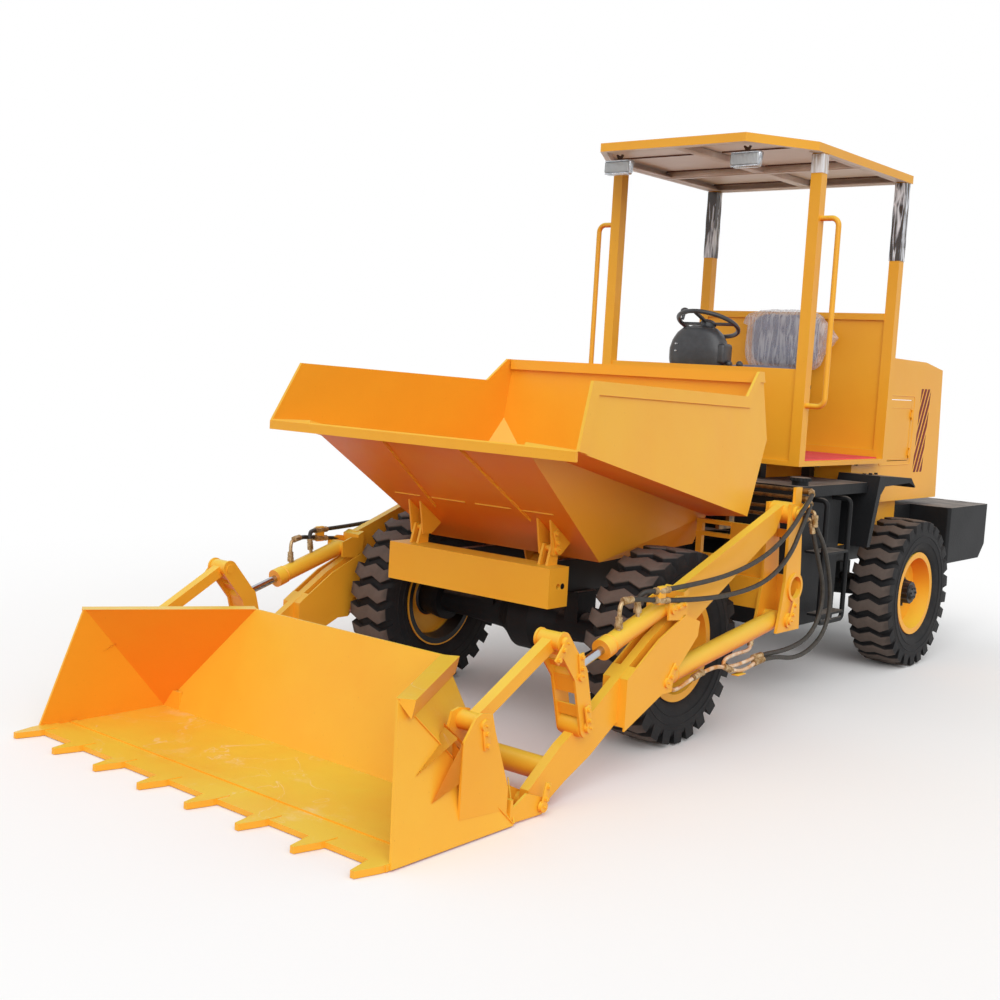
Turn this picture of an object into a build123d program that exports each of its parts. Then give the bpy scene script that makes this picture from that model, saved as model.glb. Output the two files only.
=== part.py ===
from build123d import *
import math
import os

# Self-loading site dumper: centre-articulated chassis, tipping skip over the front axle, and a
# pair of lift arms that carry a toothed bucket in front.
# Millimetres. X across (+X is the machine's left), -Y is forward, Z up, ground at Z = 0.
# All places below count Y from the front axle; OY moves the origin to the middle of the length.

OY = -820.0

# ------------------------------------------------------------------ driving dimensions
TYRE_R = 430.0            # outside radius over the tread
TYRE_W = 245.0            # tread width
LUGS, LUG_DEPTH, LUG_HALF = 26, 24.0, 31.0         # tread lugs, groove depth, half of a lug's width
LUG_ROOT = 60.0                                     # how deep a lug's sides run down the shoulder
TRACK = 710.5             # wheel centre plane from the machine's middle
RIM_R = 241.0             # rim flange
SPINDLE_R = 30.0
WHEELBASE = 2548.0
ARTIC_Y = 1270.0          # steering pivot

BEAM_W, BEAM_Y0, BEAM_Y1 = 471.0, -534.0, -400.0   # front cross beam, half width and depth
BEAM_Z0, BEAM_Z1 = 600.0, 772.0
RAIL_X, RAIL_T = 262.0, 40.0                        # front chassis rails

SKIP_T, SKIP_X = 6.0, 872.0                         # skip plate, half width at the front lip
BAND_W, BAND_T = 52.0, 8.0                          # band round the skip's rim
MOUTH_CUT = 30.0                                    # how far the cut through a tub's mouth runs past it
TIP_Y, TIP_Z = -420.0, 840.0                        # skip hinge line
LUG_X = 380.0

ARM_X, ARM_T = 950.0, 40.0                          # lift arm middle plane and thickness
LIFT_P = (575.0, 1015.0)                            # arm pivot on the tower
LIFT_A = (-414.0, 373.0)                            # lift cylinder eye on the arm
LIFT_B = (574.0, 522.0)                             # lift cylinder foot on the tower
BUCKET_O = (-1205.0, 36.0)                          # bucket hinge
BUCKET_E = (-1545.0, 393.0)                         # link pin on the bucket
CRANK_C = (-950.0, 283.0)                           # bell crank pivot on the arm
CRANK_T = (-1123.0, 626.0)                          # bell crank top pin
CRANK_M = (-1006.0, 487.0)                          # tilt rod pin
TILT_B = (-399.0, 673.0)                            # tilt cylinder foot on the arm
TIP_S = (20.0, 700.0)                               # tipping rod eye under the skip
TIP_B = (900.0, 540.0)                              # tipping cylinder foot
FORK_IN, FORK_T = 47.0, 10.0                        # inner half gap and cheek of the crank and bucket forks
WIDE_IN = 50.0                                      # inner half gap at the lift cylinder
TIP_IN = 56.0                                       # inner half gap at the tipping cylinder's foot
RUN = 0.3                                           # side play between the faces of a hinge
TOWER_X0, TOWER_X1 = ARM_X - WIDE_IN - 14, ARM_X + WIDE_IN + 14   # tower plates, outer faces

BUCKET_T = 10.0
FLOOR_Z = 1206.0          # driver's platform, top of floor
PLAT_X = 611.0            # platform half width to the post centres
POST = 60.0               # square post
POST_YF, POST_YR = 1326.0, 2345.0
ROOF_Z0, ROOF_Z1 = 2768.0, 2812.0

HOOD_X = 570.0
HOOD_T = 5.0
HOOD_Y1 = WHEELBASE + 777.0                         # hood's rear foot
PANEL_X = 500.0                                     # panel and counterweight between the rear wheels
CW_X, CW_YF, CW_Y0, CW_Y1 = 760.0, WHEELBASE + 326.0, WHEELBASE + 562.0, WHEELBASE + 1207.0
CW_Z0, CW_Z1 = 555.0, 900.0
TOW_Y, TOW_R = CW_Y1 - 55.0, 16.0                    # towing pin
TEETH, TOOTH_SPAN = 8, 1962.0
EDGE_X = TOOTH_SPAN / 2 + 39                        # half of the bucket's cutting edge


# ------------------------------------------------------------------ small helpers
def box(x0, x1, y0, y1, z0, z1):
    return Pos((x0 + x1) / 2, (y0 + y1) / 2, (z0 + z1) / 2) * Box(x1 - x0, y1 - y0, z1 - z0)


def prism_x(yz, x0, x1):
    return extrude(Plane.YZ.offset(x0) * make_face(Polyline(*yz, close=True)), x1 - x0)


def prism_z(xy, z0, z1):
    return extrude(Plane.XY.offset(z0) * make_face(Polyline(*xy, close=True)), z1 - z0)


def cyl_x(yz, r, x0, x1):
    return extrude(Plane.YZ.offset(x0) * Pos(yz[0], yz[1]) * Circle(r), x1 - x0)


def cyl_z(x, y, r, z0, z1):
    return extrude(Plane.XY.offset(z0) * Pos(x, y) * Circle(r), z1 - z0)


def rod(p, q, r):
    a, b = Vector(*p), Vector(*q)
    return extrude(Plane(origin=a, z_dir=b - a) * Circle(r), (b - a).length)


def rod_yz(p, q, r, x, s0=0.0, s1=None):
    """Round bar in the plane x, along the line from p to q, from distance s0 to s1."""
    a, b = Vector(x, p[0], p[1]), Vector(x, q[0], q[1])
    d = (b - a).normalized()
    end = (b - a).length if s1 is None else s1
    return extrude(Plane(origin=a + d * s0, z_dir=d) * Circle(r), end - s0)


def bar_yz(p, q, half, x0, x1):
    """Flat link with round ends between two points of the side view."""
    d = Vector(q[0] - p[0], q[1] - p[1])
    n = Vector(-d.Y, d.X).normalized() * half
    body = prism_x([(p[0] + n.X, p[1] + n.Y), (q[0] + n.X, q[1] + n.Y),
                    (q[0] - n.X, q[1] - n.Y), (p[0] - n.X, p[1] - n.Y)], x0, x1)
    return body + cyl_x(p, half, x0, x1) + cyl_x(q, half, x0, x1)


def bent_tube(points, r, bend):
    path = FilletPolyline(*points, radius=bend)
    return sweep(Plane(origin=path @ 0, z_dir=path % 0) * Circle(r), path=path)


def plate(corners, t, inside):
    """Flat plate on the given outer corners, its thickness towards the point inside."""
    face = Face(Wire.make_polygon([Vector(*c) for c in corners], close=True))
    n = face.normal_at()
    if n.dot(Vector(*inside) - face.center()) < 0:
        n = n * -1
    return extrude(face, amount=t, dir=n)


def tub(corners, t, inside, sides, across, mouth, meets):
    """Open tub folded from plate: corners of the left half, flat facets named by their corners.
    Facets across and in the mouth close over their mirror images; meets gives for each corner the
    three facets whose inner planes cross there."""
    def flipped(p):
        return (-p[0], p[1], p[2])

    def closed_solid(points):
        polygons = []
        for names in sides.values():
            left = [points[n] for n in names]
            polygons += [left, [flipped(p) for p in left]]
        for names in list(across.values()) + list(mouth.values()):
            left = [points[n] for n in names]
            polygons.append(left + [flipped(p) for p in reversed(left)])
        return Solid(Shell([Face(Wire.make_polygon([Vector(*p) for p in polygon], close=True))
                            for polygon in polygons]))

    def inner_plane(name):
        """Outward normal and distance of a facet moved in by t, or out over the mouth."""
        names = {**sides, **across, **mouth}[name]
        a, b = Vector(*corners[names[0]]), Vector(*corners[names[1]])
        c = Vector(*corners[names[2]]) if len(names) > 2 else Vector(*flipped(corners[names[0]]))
        n = (b - a).cross(c - a).normalized()
        if n.dot(a - Vector(*inside)) < 0:
            n = n * -1
        return n, n.dot(a) + (MOUTH_CUT if name in mouth else -t)

    inner = {}
    for corner, names in meets.items():
        (n1, d1), (n2, d2), (n3, d3) = [inner_plane(name) for name in names]
        p = (n2.cross(n3) * d1 + n3.cross(n1) * d2 + n1.cross(n2) * d3) * (1 / n1.dot(n2.cross(n3)))
        inner[corner] = (p.X, p.Y, p.Z)
    return closed_solid(corners) - closed_solid(inner)


def both(shape):
    return shape + mirror(shape, Plane.YZ)


def join(parts):
    total = parts[0]
    for p in parts[1:]:
        total = total + p
    return total


def wheel_at(shape, x, y):
    turned = shape if x > 0 else mirror(shape, Plane.YZ)
    return Pos(x, y, TYRE_R) * turned


nodes = {}

# ------------------------------------------------------------------ wheels
half = TYRE_W / 2
tyre_profile = [(-90.7, 216), (90.7, 216), (90.7, RIM_R + 3), (half - 1, 340), (108, TYRE_R - LUG_DEPTH),
                (-108, TYRE_R - LUG_DEPTH), (1 - half, 340), (-90.7, RIM_R + 3)]


def flat_sided_ring(profile, count):
    """Ring turned about X with flat facets, one under each lug, that touch the profile's radii."""
    turn = 2 * math.pi / count
    rows = [[Vector(x, r / math.cos(turn / 2) * math.sin((k + 0.5) * turn), r / math.cos(turn / 2) * math.cos((k + 0.5) * turn))
             for x, r in profile] for k in range(count)]
    last = len(profile)
    return Solid(Shell([Face(Wire.make_polygon([rows[k - 1][i - 1], rows[k - 1][i], rows[k][i], rows[k][i - 1]], close=True))
                        for k in range(count) for i in range(last)]))


tyre = flat_sided_ring(tyre_profile, LUGS)
# one lug's middle line from side to side: share of the half width, shift along the tread
ZIGZAG = [(-1, 11), (0, -13), (1, 11)]
lug = prism_z([(a * half, b - LUG_HALF) for a, b in ZIGZAG] + [(a * half, b + LUG_HALF) for a, b in reversed(ZIGZAG)],
              TYRE_R - LUG_ROOT, TYRE_R)
tyre = tyre + [Rot(i * 360 / LUGS, 0, 0) * lug for i in range(LUGS)]

rim_profile = [(-98, 208), (-20, 190), (98, 208), (98, RIM_R), (91, RIM_R), (91, 215.7),
               (-91, 215.7), (-91, RIM_R), (-98, RIM_R)]
dish_profile = [(-22, 0), (88, 0), (88, 40), (74, 46), (74, 62), (-6, 62), (-6, 90), (4, 96),
                (4, 197), (-10, 197), (-10, 102), (-22, 90)]
rim = revolve(Plane.XZ * make_face(Polyline(*rim_profile, close=True)), Axis.X) \
    + revolve(Plane.XZ * make_face(Polyline(*dish_profile, close=True)), Axis.X)
rim = rim - cyl_x((0, 0), SPINDLE_R + 0.05, -30, 61)

# corner name, side, axle place
WHEELS = [("fl", 1, 0.0), ("fr", -1, 0.0), ("rl", 1, WHEELBASE), ("rr", -1, WHEELBASE)]
for name, side, y in WHEELS:
    nodes["tyre_" + name] = wheel_at(tyre, side * TRACK, y)
    nodes["rim_" + name] = wheel_at(rim, side * TRACK, y)


# ------------------------------------------------------------------ axles
def axle(y, pad_x0, pad_x1, pad_z):
    """Banjo axle: ball case, tapered arms, hub ends short of the wheel discs, spring pads."""
    arms = revolve(Plane.XZ * make_face(Polyline(
        (0, 0), (0, 150), (60, 150), (120, 105), (170, 78), (430, 62), (560, 62), (560, 100),
        (590, 100), (TRACK - 24, 84), (TRACK - 24, SPINDLE_R), (TRACK + 60, SPINDLE_R), (TRACK + 60, 0),
        close=True)), Axis.X)
    shape = Pos(0, y, TYRE_R) * both(arms)
    return shape + both(box(pad_x0, pad_x1, y - 70, y + 70, TYRE_R + 30, pad_z))


nodes["front_axle"] = axle(0.0, 215, 290, BEAM_Z0)
nodes["rear_axle"] = axle(WHEELBASE, 290, 360, 560.0)

# ------------------------------------------------------------------ front chassis
rail = box(RAIL_X - RAIL_T, RAIL_X, BEAM_Y1, 760, BEAM_Z0, 752)
taper = plate([(RAIL_X, 760, BEAM_Z0), (RAIL_X, 760, 752), (120, 1120, 752), (120, 1120, BEAM_Z0)],
              20, (0, 900, 700))
rail_inner = both(rail + taper)
beam = box(-BEAM_W, BEAM_W, BEAM_Y0, BEAM_Y1, BEAM_Z0, BEAM_Z1) - cyl_x((-470, 690), 13, 350, 480) \
    - cyl_x((-470, 690), 13, -480, -350)
# half width, y0, y1, z0, z1 of the cross pieces behind the axle
arms_out = both(box(RAIL_X - 1, TOWER_X0, 520, 640, 560, 700))
rear_box = box(-140, 140, 1080, 1130, 480, 760)
tongue = prism_z([(-110, 1130), (-60, ARTIC_Y + 40), (60, ARTIC_Y + 40), (110, 1130)], 520, 580) \
    + prism_z([(-110, 1130), (-60, ARTIC_Y + 40), (60, ARTIC_Y + 40), (110, 1130)], 660, 720)
tongue = tongue - cyl_z(0, ARTIC_Y, 30.05, 400, 800)
# skip hinge ears on the beam: middle of each pair
ears = []
for x in (LUG_X - 21, LUG_X + 21):
    ears.append(prism_x([(-470, BEAM_Z1 - 1), (-445, TIP_Z + 22), (-395, TIP_Z + 22),
                         (-402, BEAM_Z1 - 1)], x - 6, x + 6))
ears = both(join(ears)) - cyl_x((TIP_Y, TIP_Z), 15.1, -500, 500)
# tipping cylinder foot: two cheeks between the tapered rails
foot = both(box(TIP_IN, TIP_IN + 12, 860, 1081, 490, 590)) \
    + box(-TIP_IN - 12, TIP_IN + 12, 1060, 1081, 490, 590) + cyl_x(TIP_B, 20, -TIP_IN - 20, TIP_IN + 20)
# slotted step bracket behind each front wheel, over the cross piece
bracket = [box(700, TOWER_X0, 545, 570, 690, 940)]
for z in (760, 862, 922):
    bracket.append(box(515, 701, 540, 575, z, z + 18))
bracket.append(box(515, 545, 545, 570, 690, 940))
step_bracket = both(join(bracket))
nodes["front_chassis"] = join([rail_inner, beam, arms_out, rear_box, tongue, ears, foot, step_bracket,
                               both(box(RAIL_X - RAIL_T, RAIL_X + 1, 500, 660, 560, 640))])

# ------------------------------------------------------------------ towers for the lift arms
tower_profile = [(LIFT_P[0] - 50, 1060), (LIFT_P[0] + 60, 1060), (692, 470), (476, 470),
                 (500, 560), (525, 700)]
ring = (612.0, 672.0)
inner_x0, inner_x1 = TOWER_X0, ARM_X - WIDE_IN
outer_x0, outer_x1 = ARM_X + WIDE_IN, TOWER_X1
tower = prism_x(tower_profile, inner_x0, inner_x1) \
    + (prism_x(tower_profile, outer_x0, outer_x1) + cyl_x(ring, 66, outer_x0, outer_x1 + 10)
       - cyl_x(ring, 51, outer_x0 - 5, outer_x1 + 20)) \
    + prism_x([(691, 480), (668, 715), (656, 715), (679, 480)], inner_x0, outer_x1) \
    + prism_x([(639.5, 890), (651.4, 890), (647.5, 930), (635.5, 930)], inner_x0, outer_x1)
for pin, pin_r in ((LIFT_P, 22), (LIFT_B, 17)):
    tower = tower + cyl_x(pin, 34, outer_x1 - 1, outer_x1 + 12) + cyl_x(pin, 34, inner_x0 - 10, inner_x0 + 1) \
        + cyl_x(pin, pin_r, inner_x0, outer_x1)
tower = tower + box(outer_x0, outer_x1, 560, 620, 1050, 1135)
nodes["towers"] = both(tower)

# ------------------------------------------------------------------ steel pipes at the towers
# height, outer end of each pipe
PIPES = [(1112, 1010), (1076, 985), (1022, 0), (984, 0)]
pipes = []
for z, x_end in PIPES:
    if x_end:
        pipes.append(rod((120, 700, z), (x_end, 700, z), 9) + rod((x_end - 60, 700, z), (x_end + 12, 700, z), 15))
    else:
        pipes.append(rod((120, 700, z), (870, 700, z), 9) + rod((855, 700, z), (1000, 700, z), 9)
                     + rod((940, 700, z), (1012, 700, z), 15))
pipe_bank = join(pipes) + box(600, 620, 575, 712, 895, 925) + box(600, 620, 665, 712, 924, 1130)
nodes["pipes"] = both(pipe_bank)

# ------------------------------------------------------------------ skip
def on_side(y, z):
    """Place on the skip's leaning side panel."""
    return (SKIP_X - 0.0414 * (y + 936) - 0.1457 * (z - 1304), y, z)


# corners of the left half
SKIP = {
    "lip": on_side(-936, 1304), "top_f": on_side(-809, 1570), "step": on_side(457, 1533),
    "raised": on_side(590, 1650), "top_r": on_side(640, 1650), "rear_m": on_side(640, 1337),
    "fold": on_side(402, 994), "d": (620, -936, 1304), "f": (500, -220, 780), "g": (440, 640, 800),
    "h": (505, 640, 945),
}
skip = tub(
    SKIP, SKIP_T, (0, 300, 1250),
    sides={"panel": ["lip", "top_f", "step", "raised", "top_r", "rear_m", "fold"], "lower": ["d", "lip", "fold"],
           "mid": ["d", "fold", "h"], "rear_fold": ["h", "fold", "rear_m"], "slope": ["d", "h", "f"],
           "foot": ["f", "h", "g"]},
    across={"front": ["d", "f"], "floor": ["f", "g"], "rear": ["g", "h", "rear_m", "top_r"]},
    mouth={"mouth_f": ["d", "lip", "top_f"], "mouth_m": ["top_f", "step"], "mouth_s": ["step", "raised"],
           "mouth_r": ["raised", "top_r"]},
    meets={"lip": ("panel", "lower", "mouth_f"), "top_f": ("panel", "mouth_f", "mouth_m"),
           "step": ("panel", "mouth_m", "mouth_s"), "raised": ("panel", "mouth_s", "mouth_r"),
           "top_r": ("panel", "rear", "mouth_r"), "rear_m": ("panel", "rear", "rear_fold"),
           "fold": ("panel", "lower", "rear_fold"), "d": ("front", "slope", "mouth_f"),
           "h": ("mid", "slope", "rear"), "g": ("foot", "floor", "rear"), "f": ("front", "floor", "slope")})
skip_body = skip
# band that stands on the side panel round the rim, front lip bar, rolled edge of the rear wall
BAND = [((-936, 1304), (-876, 1292)), ((-809, 1570), (-775, 1516)), ((457, 1533), (476, 1481)),
        ((590, 1650), (592, 1600)), ((640, 1650), (640, 1600))]
for (p, p_in), (q, q_in) in zip(BAND, BAND[1:]):
    skip_body = skip_body + both(plate([on_side(*p), on_side(*q), on_side(*q_in), on_side(*p_in)], BAND_T,
                                       (2 * SKIP_X, 0, 1400)))
skip_body = skip_body + box(-SKIP_X, SKIP_X, -936 - BAND_T, -930, 1304 - 40, 1304)
skip_body = skip_body + box(8 - on_side(640, 1650)[0], on_side(640, 1650)[0] - 8, 608, 636, 1650 - BAND_W, 1650)
# stiffening ribs on the front slope, from the lip down to the hinge lugs
for x0, x1 in ((217, 279),):
    skip_body = skip_body + both(plate([(x0 - 20, -900, 1278), (x0 + 20, -900, 1278), (x1 + 20, -460, 956),
                                        (x1 - 20, -460, 956)], 10, (0, -900, 700)))
# skip hinge lugs, one pair outside the beam's ears at each side, and the tipping rod's pair
for x0 in (LUG_X - 40, LUG_X + 30):
    skip_body = skip_body + both(prism_x([(-480, 970), (-450, 815), (-395, 815), (-330, 864)], x0, x0 + 10))
for x0 in (-FORK_IN - 10, FORK_IN):
    skip_body = skip_body + prism_x([(-70, 790), (-25, 672), (65, 672), (100, 792)], x0, x0 + 10)
skip_body = skip_body + both(cyl_x((TIP_Y, TIP_Z), 15, LUG_X - 39, LUG_X + 39))
nodes["skip"] = skip_body

# ------------------------------------------------------------------ lift arms
ARM = [(LIFT_P[0] - 25, LIFT_P[1] + 40), (521, 1048), (-305, 748), (-345, 640), (-430, 590), (-490, 562),
       (-860, 326), (-1055, 222), (-1235, 90), (-1235, 20), (-1130, 20), (-1021, 80), (-867, 150), (-640, 290),
       (-389, 474), (-63, 652), (480, 930)]
arm = prism_x(ARM, ARM_X - ARM_T / 2, ARM_X + ARM_T / 2)
arm = arm + cyl_x(LIFT_P, 50, ARM_X - WIDE_IN + RUN, ARM_X + WIDE_IN - RUN)
for pin, boss in ((CRANK_C, 44), (BUCKET_O, 31)):
    arm = arm + cyl_x(pin, boss, ARM_X - FORK_IN + RUN, ARM_X + FORK_IN - RUN)
# ears for the tilt cylinder foot and the lift rod eye
for x in (ARM_X - FORK_IN - 8, ARM_X + FORK_IN):
    arm = arm + prism_x([(-285, 715), (-330, 620), (-430, 630), (-430, 705), (-370, 725)], x, x + 8)
for x in (ARM_X - WIDE_IN - 8, ARM_X + WIDE_IN):
    arm = arm + prism_x([(-190, 600), (-300, 640), (-490, 560), (-700, 426), (-700, 220), (-445, 330), (-375, 330),
                         (-362, 400), (-200, 540)], x, x + 8) + cyl_x(LIFT_A, 42, x, x + 8)
arm = arm + prism_x([(-700, 426), (-700, 235), (-640, 262), (-640, 466)], ARM_X - WIDE_IN - 8, ARM_X + WIDE_IN + 8)
arm = arm + prism_x([(-325, 735), (-290, 750), (-290, 640), (-325, 640)], ARM_X - FORK_IN - 8, ARM_X + FORK_IN + 8)
arm = arm + prism_x([(-195, 595), (-250, 570), (-250, 555), (-200, 575)], ARM_X - WIDE_IN - 8, ARM_X + WIDE_IN + 8)
for pin, pin_r in ((LIFT_P, 22), (CRANK_C, 20), (BUCKET_O, 15)):
    arm = arm - cyl_x(pin, pin_r + 0.05, ARM_X - 150, ARM_X + 150)
arm = arm + cyl_x(TILT_B, 14, ARM_X - FORK_IN - 7, ARM_X + FORK_IN + 7)
cross = cyl_x((-1095, 133), 45, -ARM_X, ARM_X)
nodes["lift_arms"] = both(arm) + cross

# ------------------------------------------------------------------ bell cranks and links
crank = None
for x0 in (ARM_X - FORK_IN - FORK_T, ARM_X + FORK_IN):
    cheek = bar_yz(CRANK_C, CRANK_M, 40, x0, x0 + FORK_T) + bar_yz(CRANK_M, CRANK_T, 38, x0, x0 + FORK_T)
    crank = cheek if crank is None else crank + cheek
for pin in (CRANK_T, CRANK_C):
    crank = crank + cyl_x(pin, 20, ARM_X - FORK_IN - FORK_T - 4, ARM_X + FORK_IN + FORK_T + 8)
nodes["bell_cranks"] = both(crank)
link = bar_yz(CRANK_T, BUCKET_E, 24, ARM_X - 22, ARM_X + 22)
for pin in (CRANK_T, BUCKET_E):
    link = link + cyl_x(pin, 34, ARM_X - FORK_IN + RUN, ARM_X + FORK_IN - RUN)
link = link - cyl_x(CRANK_T, 20.05, ARM_X - 70, ARM_X + 70)
nodes["bucket_links"] = both(link)

# ------------------------------------------------------------------ bucket
BUCKET = {"front_b": (EDGE_X + 7, -1989, 7), "front_t": (905, -1868, 517), "rear_t": (545, -1253, 514),
          "rear_b": (EDGE_X, -1372, 7)}
shell = tub(
    BUCKET, BUCKET_T, (0, -1650, 250),
    sides={"cheek": ["front_b", "front_t", "rear_b"], "folded": ["front_t", "rear_t", "rear_b"]},
    across={"back": ["rear_b", "rear_t"], "floor": ["front_b", "rear_b"]},
    mouth={"front": ["front_b", "front_t"], "top": ["front_t", "rear_t"]},
    meets={"front_b": ("cheek", "floor", "front"), "front_t": ("cheek", "front", "top"),
           "rear_t": ("folded", "back", "top"), "rear_b": ("folded", "floor", "back")})


def fold_z(x, y):
    """Height of the folded side's outer face at a place seen from above."""
    a, b, c = (Vector(*BUCKET[name]) for name in ("front_t", "rear_t", "rear_b"))
    n = (b - a).cross(c - a)
    return a.Z - (n.X * (x - a.X) + n.Y * (y - a.Y)) / n.Z


# stiffening lip along the folded side's top edge, a closed angle
lip_a, lip_b = Vector(*BUCKET["front_t"]), Vector(*BUCKET["rear_t"])
lip_run = lip_b - lip_a
lip_out = Vector(lip_run.Y, -lip_run.X, 0).normalized()
lip_face = Face(Wire.make_polygon([lip_a - lip_out * 8, lip_a + lip_out * 60, lip_a + lip_out * 47 - Vector(0, 0, 66)],
                                  close=True))
lip = Solid.extrude(lip_face, lip_run)
# hinge ears behind the shell and link ears on the folded side
ears = []
# inner and outer cheek: hinge ear and link ear of each
CHEEKS = [
    (ARM_X - FORK_IN - FORK_T,
     [(-1380, 10), (-1348, 130), (-1290, 112), (-1195, 68), (-1174, 36), (-1205, 5)],
     [(-1622, 0), (-1596, 428), (-1560, 437), (-1505, 425), (-1490, 350), (-1440, 0)]),
    (ARM_X + FORK_IN,
     [(-1380, 10), (-1372, 60), (-1290, 100), (-1195, 68), (-1174, 36), (-1205, 5)],
     [(-1650, 86), (-1650, 345), (-1590, 425), (-1560, 437), (-1505, 425), (-1485, 360), (-1400, 147), (-1400, 45),
      (-1440, 70)]),
]
for x0, hinge, upper in CHEEKS:
    upper = [(y, z if z else fold_z(x0 + FORK_T / 2, y)) for y, z in upper]
    ears += [prism_x(hinge, x0, x0 + FORK_T), prism_x(upper, x0, x0 + FORK_T), cyl_x(BUCKET_O, 31, x0, x0 + FORK_T)]
ears.append(prism_x([(-1380, 10), (-1380, 95), (-1366, 95), (-1362, 10)], ARM_X - FORK_IN - FORK_T, ARM_X + FORK_IN + FORK_T))
ears.append(cyl_x(BUCKET_O, 15, ARM_X - FORK_IN - FORK_T - 6, ARM_X + FORK_IN + FORK_T + 8))
ears = join(ears)
bucket = shell + both(ears) + both(lip) + box(-EDGE_X + 20, EDGE_X - 20, -1850, -1820, 17, 24)

teeth = [box(-EDGE_X, EDGE_X, -2005, -1900, 3, 23)]
for i in range(TEETH):
    x = -TOOTH_SPAN / 2 + i * TOOTH_SPAN / (TEETH - 1)
    teeth.append(prism_z([(x - 38, -1950), (x + 38, -1950), (x + 34, -2020), (x + 9, -2115),
                          (x - 9, -2115), (x - 34, -2020)], 2, 26))
nodes["bucket_teeth"] = join(teeth)
nodes["bucket"] = bucket - nodes["bucket_teeth"]


# ------------------------------------------------------------------ cylinders
def cylinder(foot, eye, r, collar, rod_r, barrel_end, rod_start, eye_r, foot_w, eye_w, pin_r, x):
    """Barrel with foot eye, and rod with its own eye, along the side-view line foot to eye."""
    length = (Vector(*eye) - Vector(*foot)).length
    barrel = rod_yz(foot, eye, r, x, 12, barrel_end) + rod_yz(foot, eye, collar, x, barrel_end - 45, barrel_end) \
        + cyl_x(foot, eye_r, x - foot_w, x + foot_w)
    barrel = barrel - rod_yz(foot, eye, rod_r + 0.05, x, 60, barrel_end + 5) - cyl_x(foot, pin_r + 0.05, x - 99, x + 99)
    stem = rod_yz(foot, eye, rod_r, x, rod_start, length) + cyl_x(eye, eye_r, x - eye_w, x + eye_w)
    return barrel, stem


barrel, stem = cylinder(TILT_B, CRANK_M, 38, 43, 17, 428, 225, 32, FORK_IN - RUN, FORK_IN - RUN, 14, ARM_X)
nodes["tilt_barrels"], nodes["tilt_rods"] = both(barrel), both(stem)
barrel, stem = cylinder(LIFT_B, LIFT_A, 42, 45, 24, 938, 70, 36, WIDE_IN - RUN, WIDE_IN - RUN, 17, ARM_X)
nodes["lift_barrels"], nodes["lift_rods"] = both(barrel), both(stem)
barrel, stem = cylinder(TIP_B, TIP_S, 50, 56, 28, 790, 70, 32, TIP_IN - RUN, FORK_IN - RUN, 20, 0.0)
nodes["tip_barrel"], nodes["tip_rod"] = barrel, stem

# ------------------------------------------------------------------ rear chassis
rear_rail = both(box(300, 350, 1400, CW_Y0, 560, 760))
front_wall = box(-360, 360, 1400, 1430, 440, 790)
fork = prism_z([(-180, 1401), (180, 1401), (70, ARTIC_Y - 45), (-70, ARTIC_Y - 45)], 440, 500) \
    + prism_z([(-180, 1401), (180, 1401), (70, ARTIC_Y - 45), (-70, ARTIC_Y - 45)], 740, 790)
fork = fork + cyl_z(0, ARTIC_Y, 30, 430, 810)
panel = both(box(PANEL_X - 10, PANEL_X, 2100, CW_YF, 700, 952)) + box(-PANEL_X, PANEL_X, 2100, 2110, 700, 952) \
    + both(box(345, PANEL_X - 5, 2100, 2140, 700, 760)) + both(box(345, PANEL_X - 5, CW_YF - 80, CW_YF, 700, 760))
panel = panel + both(box(PANEL_X - 10, HOOD_X, 2070, HOOD_Y1, 944, 952))
uprights = both(box(300, 350, 1432, 1492, 759, FLOOR_Z - 25) + box(300, 350, 2000, 2060, 759, FLOOR_Z - 25))
nodes["rear_chassis"] = join([rear_rail, front_wall, fork, panel, uprights])

nodes["engine_block"] = box(-240, 240, 2420, 3080, 700, 1300) + both(box(240, 300, 2500, 2600, 700, 740))

cw = prism_x([(CW_Y0, CW_Z0), (CW_Y0, CW_Z1), (CW_Y1, CW_Z1), (CW_Y1, 660), (CW_Y1 - 105, CW_Z0)], -CW_X, CW_X)
cw = fillet(cw.edges().filter_by(Axis.Z), 22)
cw = cw + both(box(255, PANEL_X, CW_YF, CW_Y0 + 30, 770, CW_Z1))
# lifting slots in its top
for x in (453, 611):
    cw = cw - both(box(x - 28, x + 28, CW_Y1 - 62, CW_Y1 - 34, CW_Z1 - 40, CW_Z1 + 1))
# towing jaw in its rear face, with the pin's hole through both cheeks
cw = cw - box(-80, 80, CW_Y1 - 110, CW_Y1 + 1, 690, 770) - cyl_z(0, TOW_Y, TOW_R, CW_Z0 - 10, CW_Z1 + 10)
nodes["counterweight"] = cw

# ------------------------------------------------------------------ hood
HOOD_END_Z, HOOD_END_R = 1742.0, 80.0               # rear top corner and its rounding


def hood_form(inset, foot):
    """Hood between its side panels, moved in by inset, its rear end rounded."""
    form = prism_x([(2070 + inset, foot), (2070 + inset, 1180 - inset), (2376 + inset, 1180 - inset),
                    (2376 + inset, 1791 - inset), (HOOD_Y1 - 320, 1782 - inset), (HOOD_Y1 - 55 - inset, HOOD_END_Z - inset),
                    (HOOD_Y1 - inset, foot)], inset - HOOD_X, HOOD_X - inset)
    end = form.edges().filter_by(Axis.X).sort_by(Axis.Y)[-3:].sort_by(Axis.Z)[-1]
    return fillet(end, HOOD_END_R - inset)


hood = hood_form(0, 952) - hood_form(HOOD_T, 940)
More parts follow.
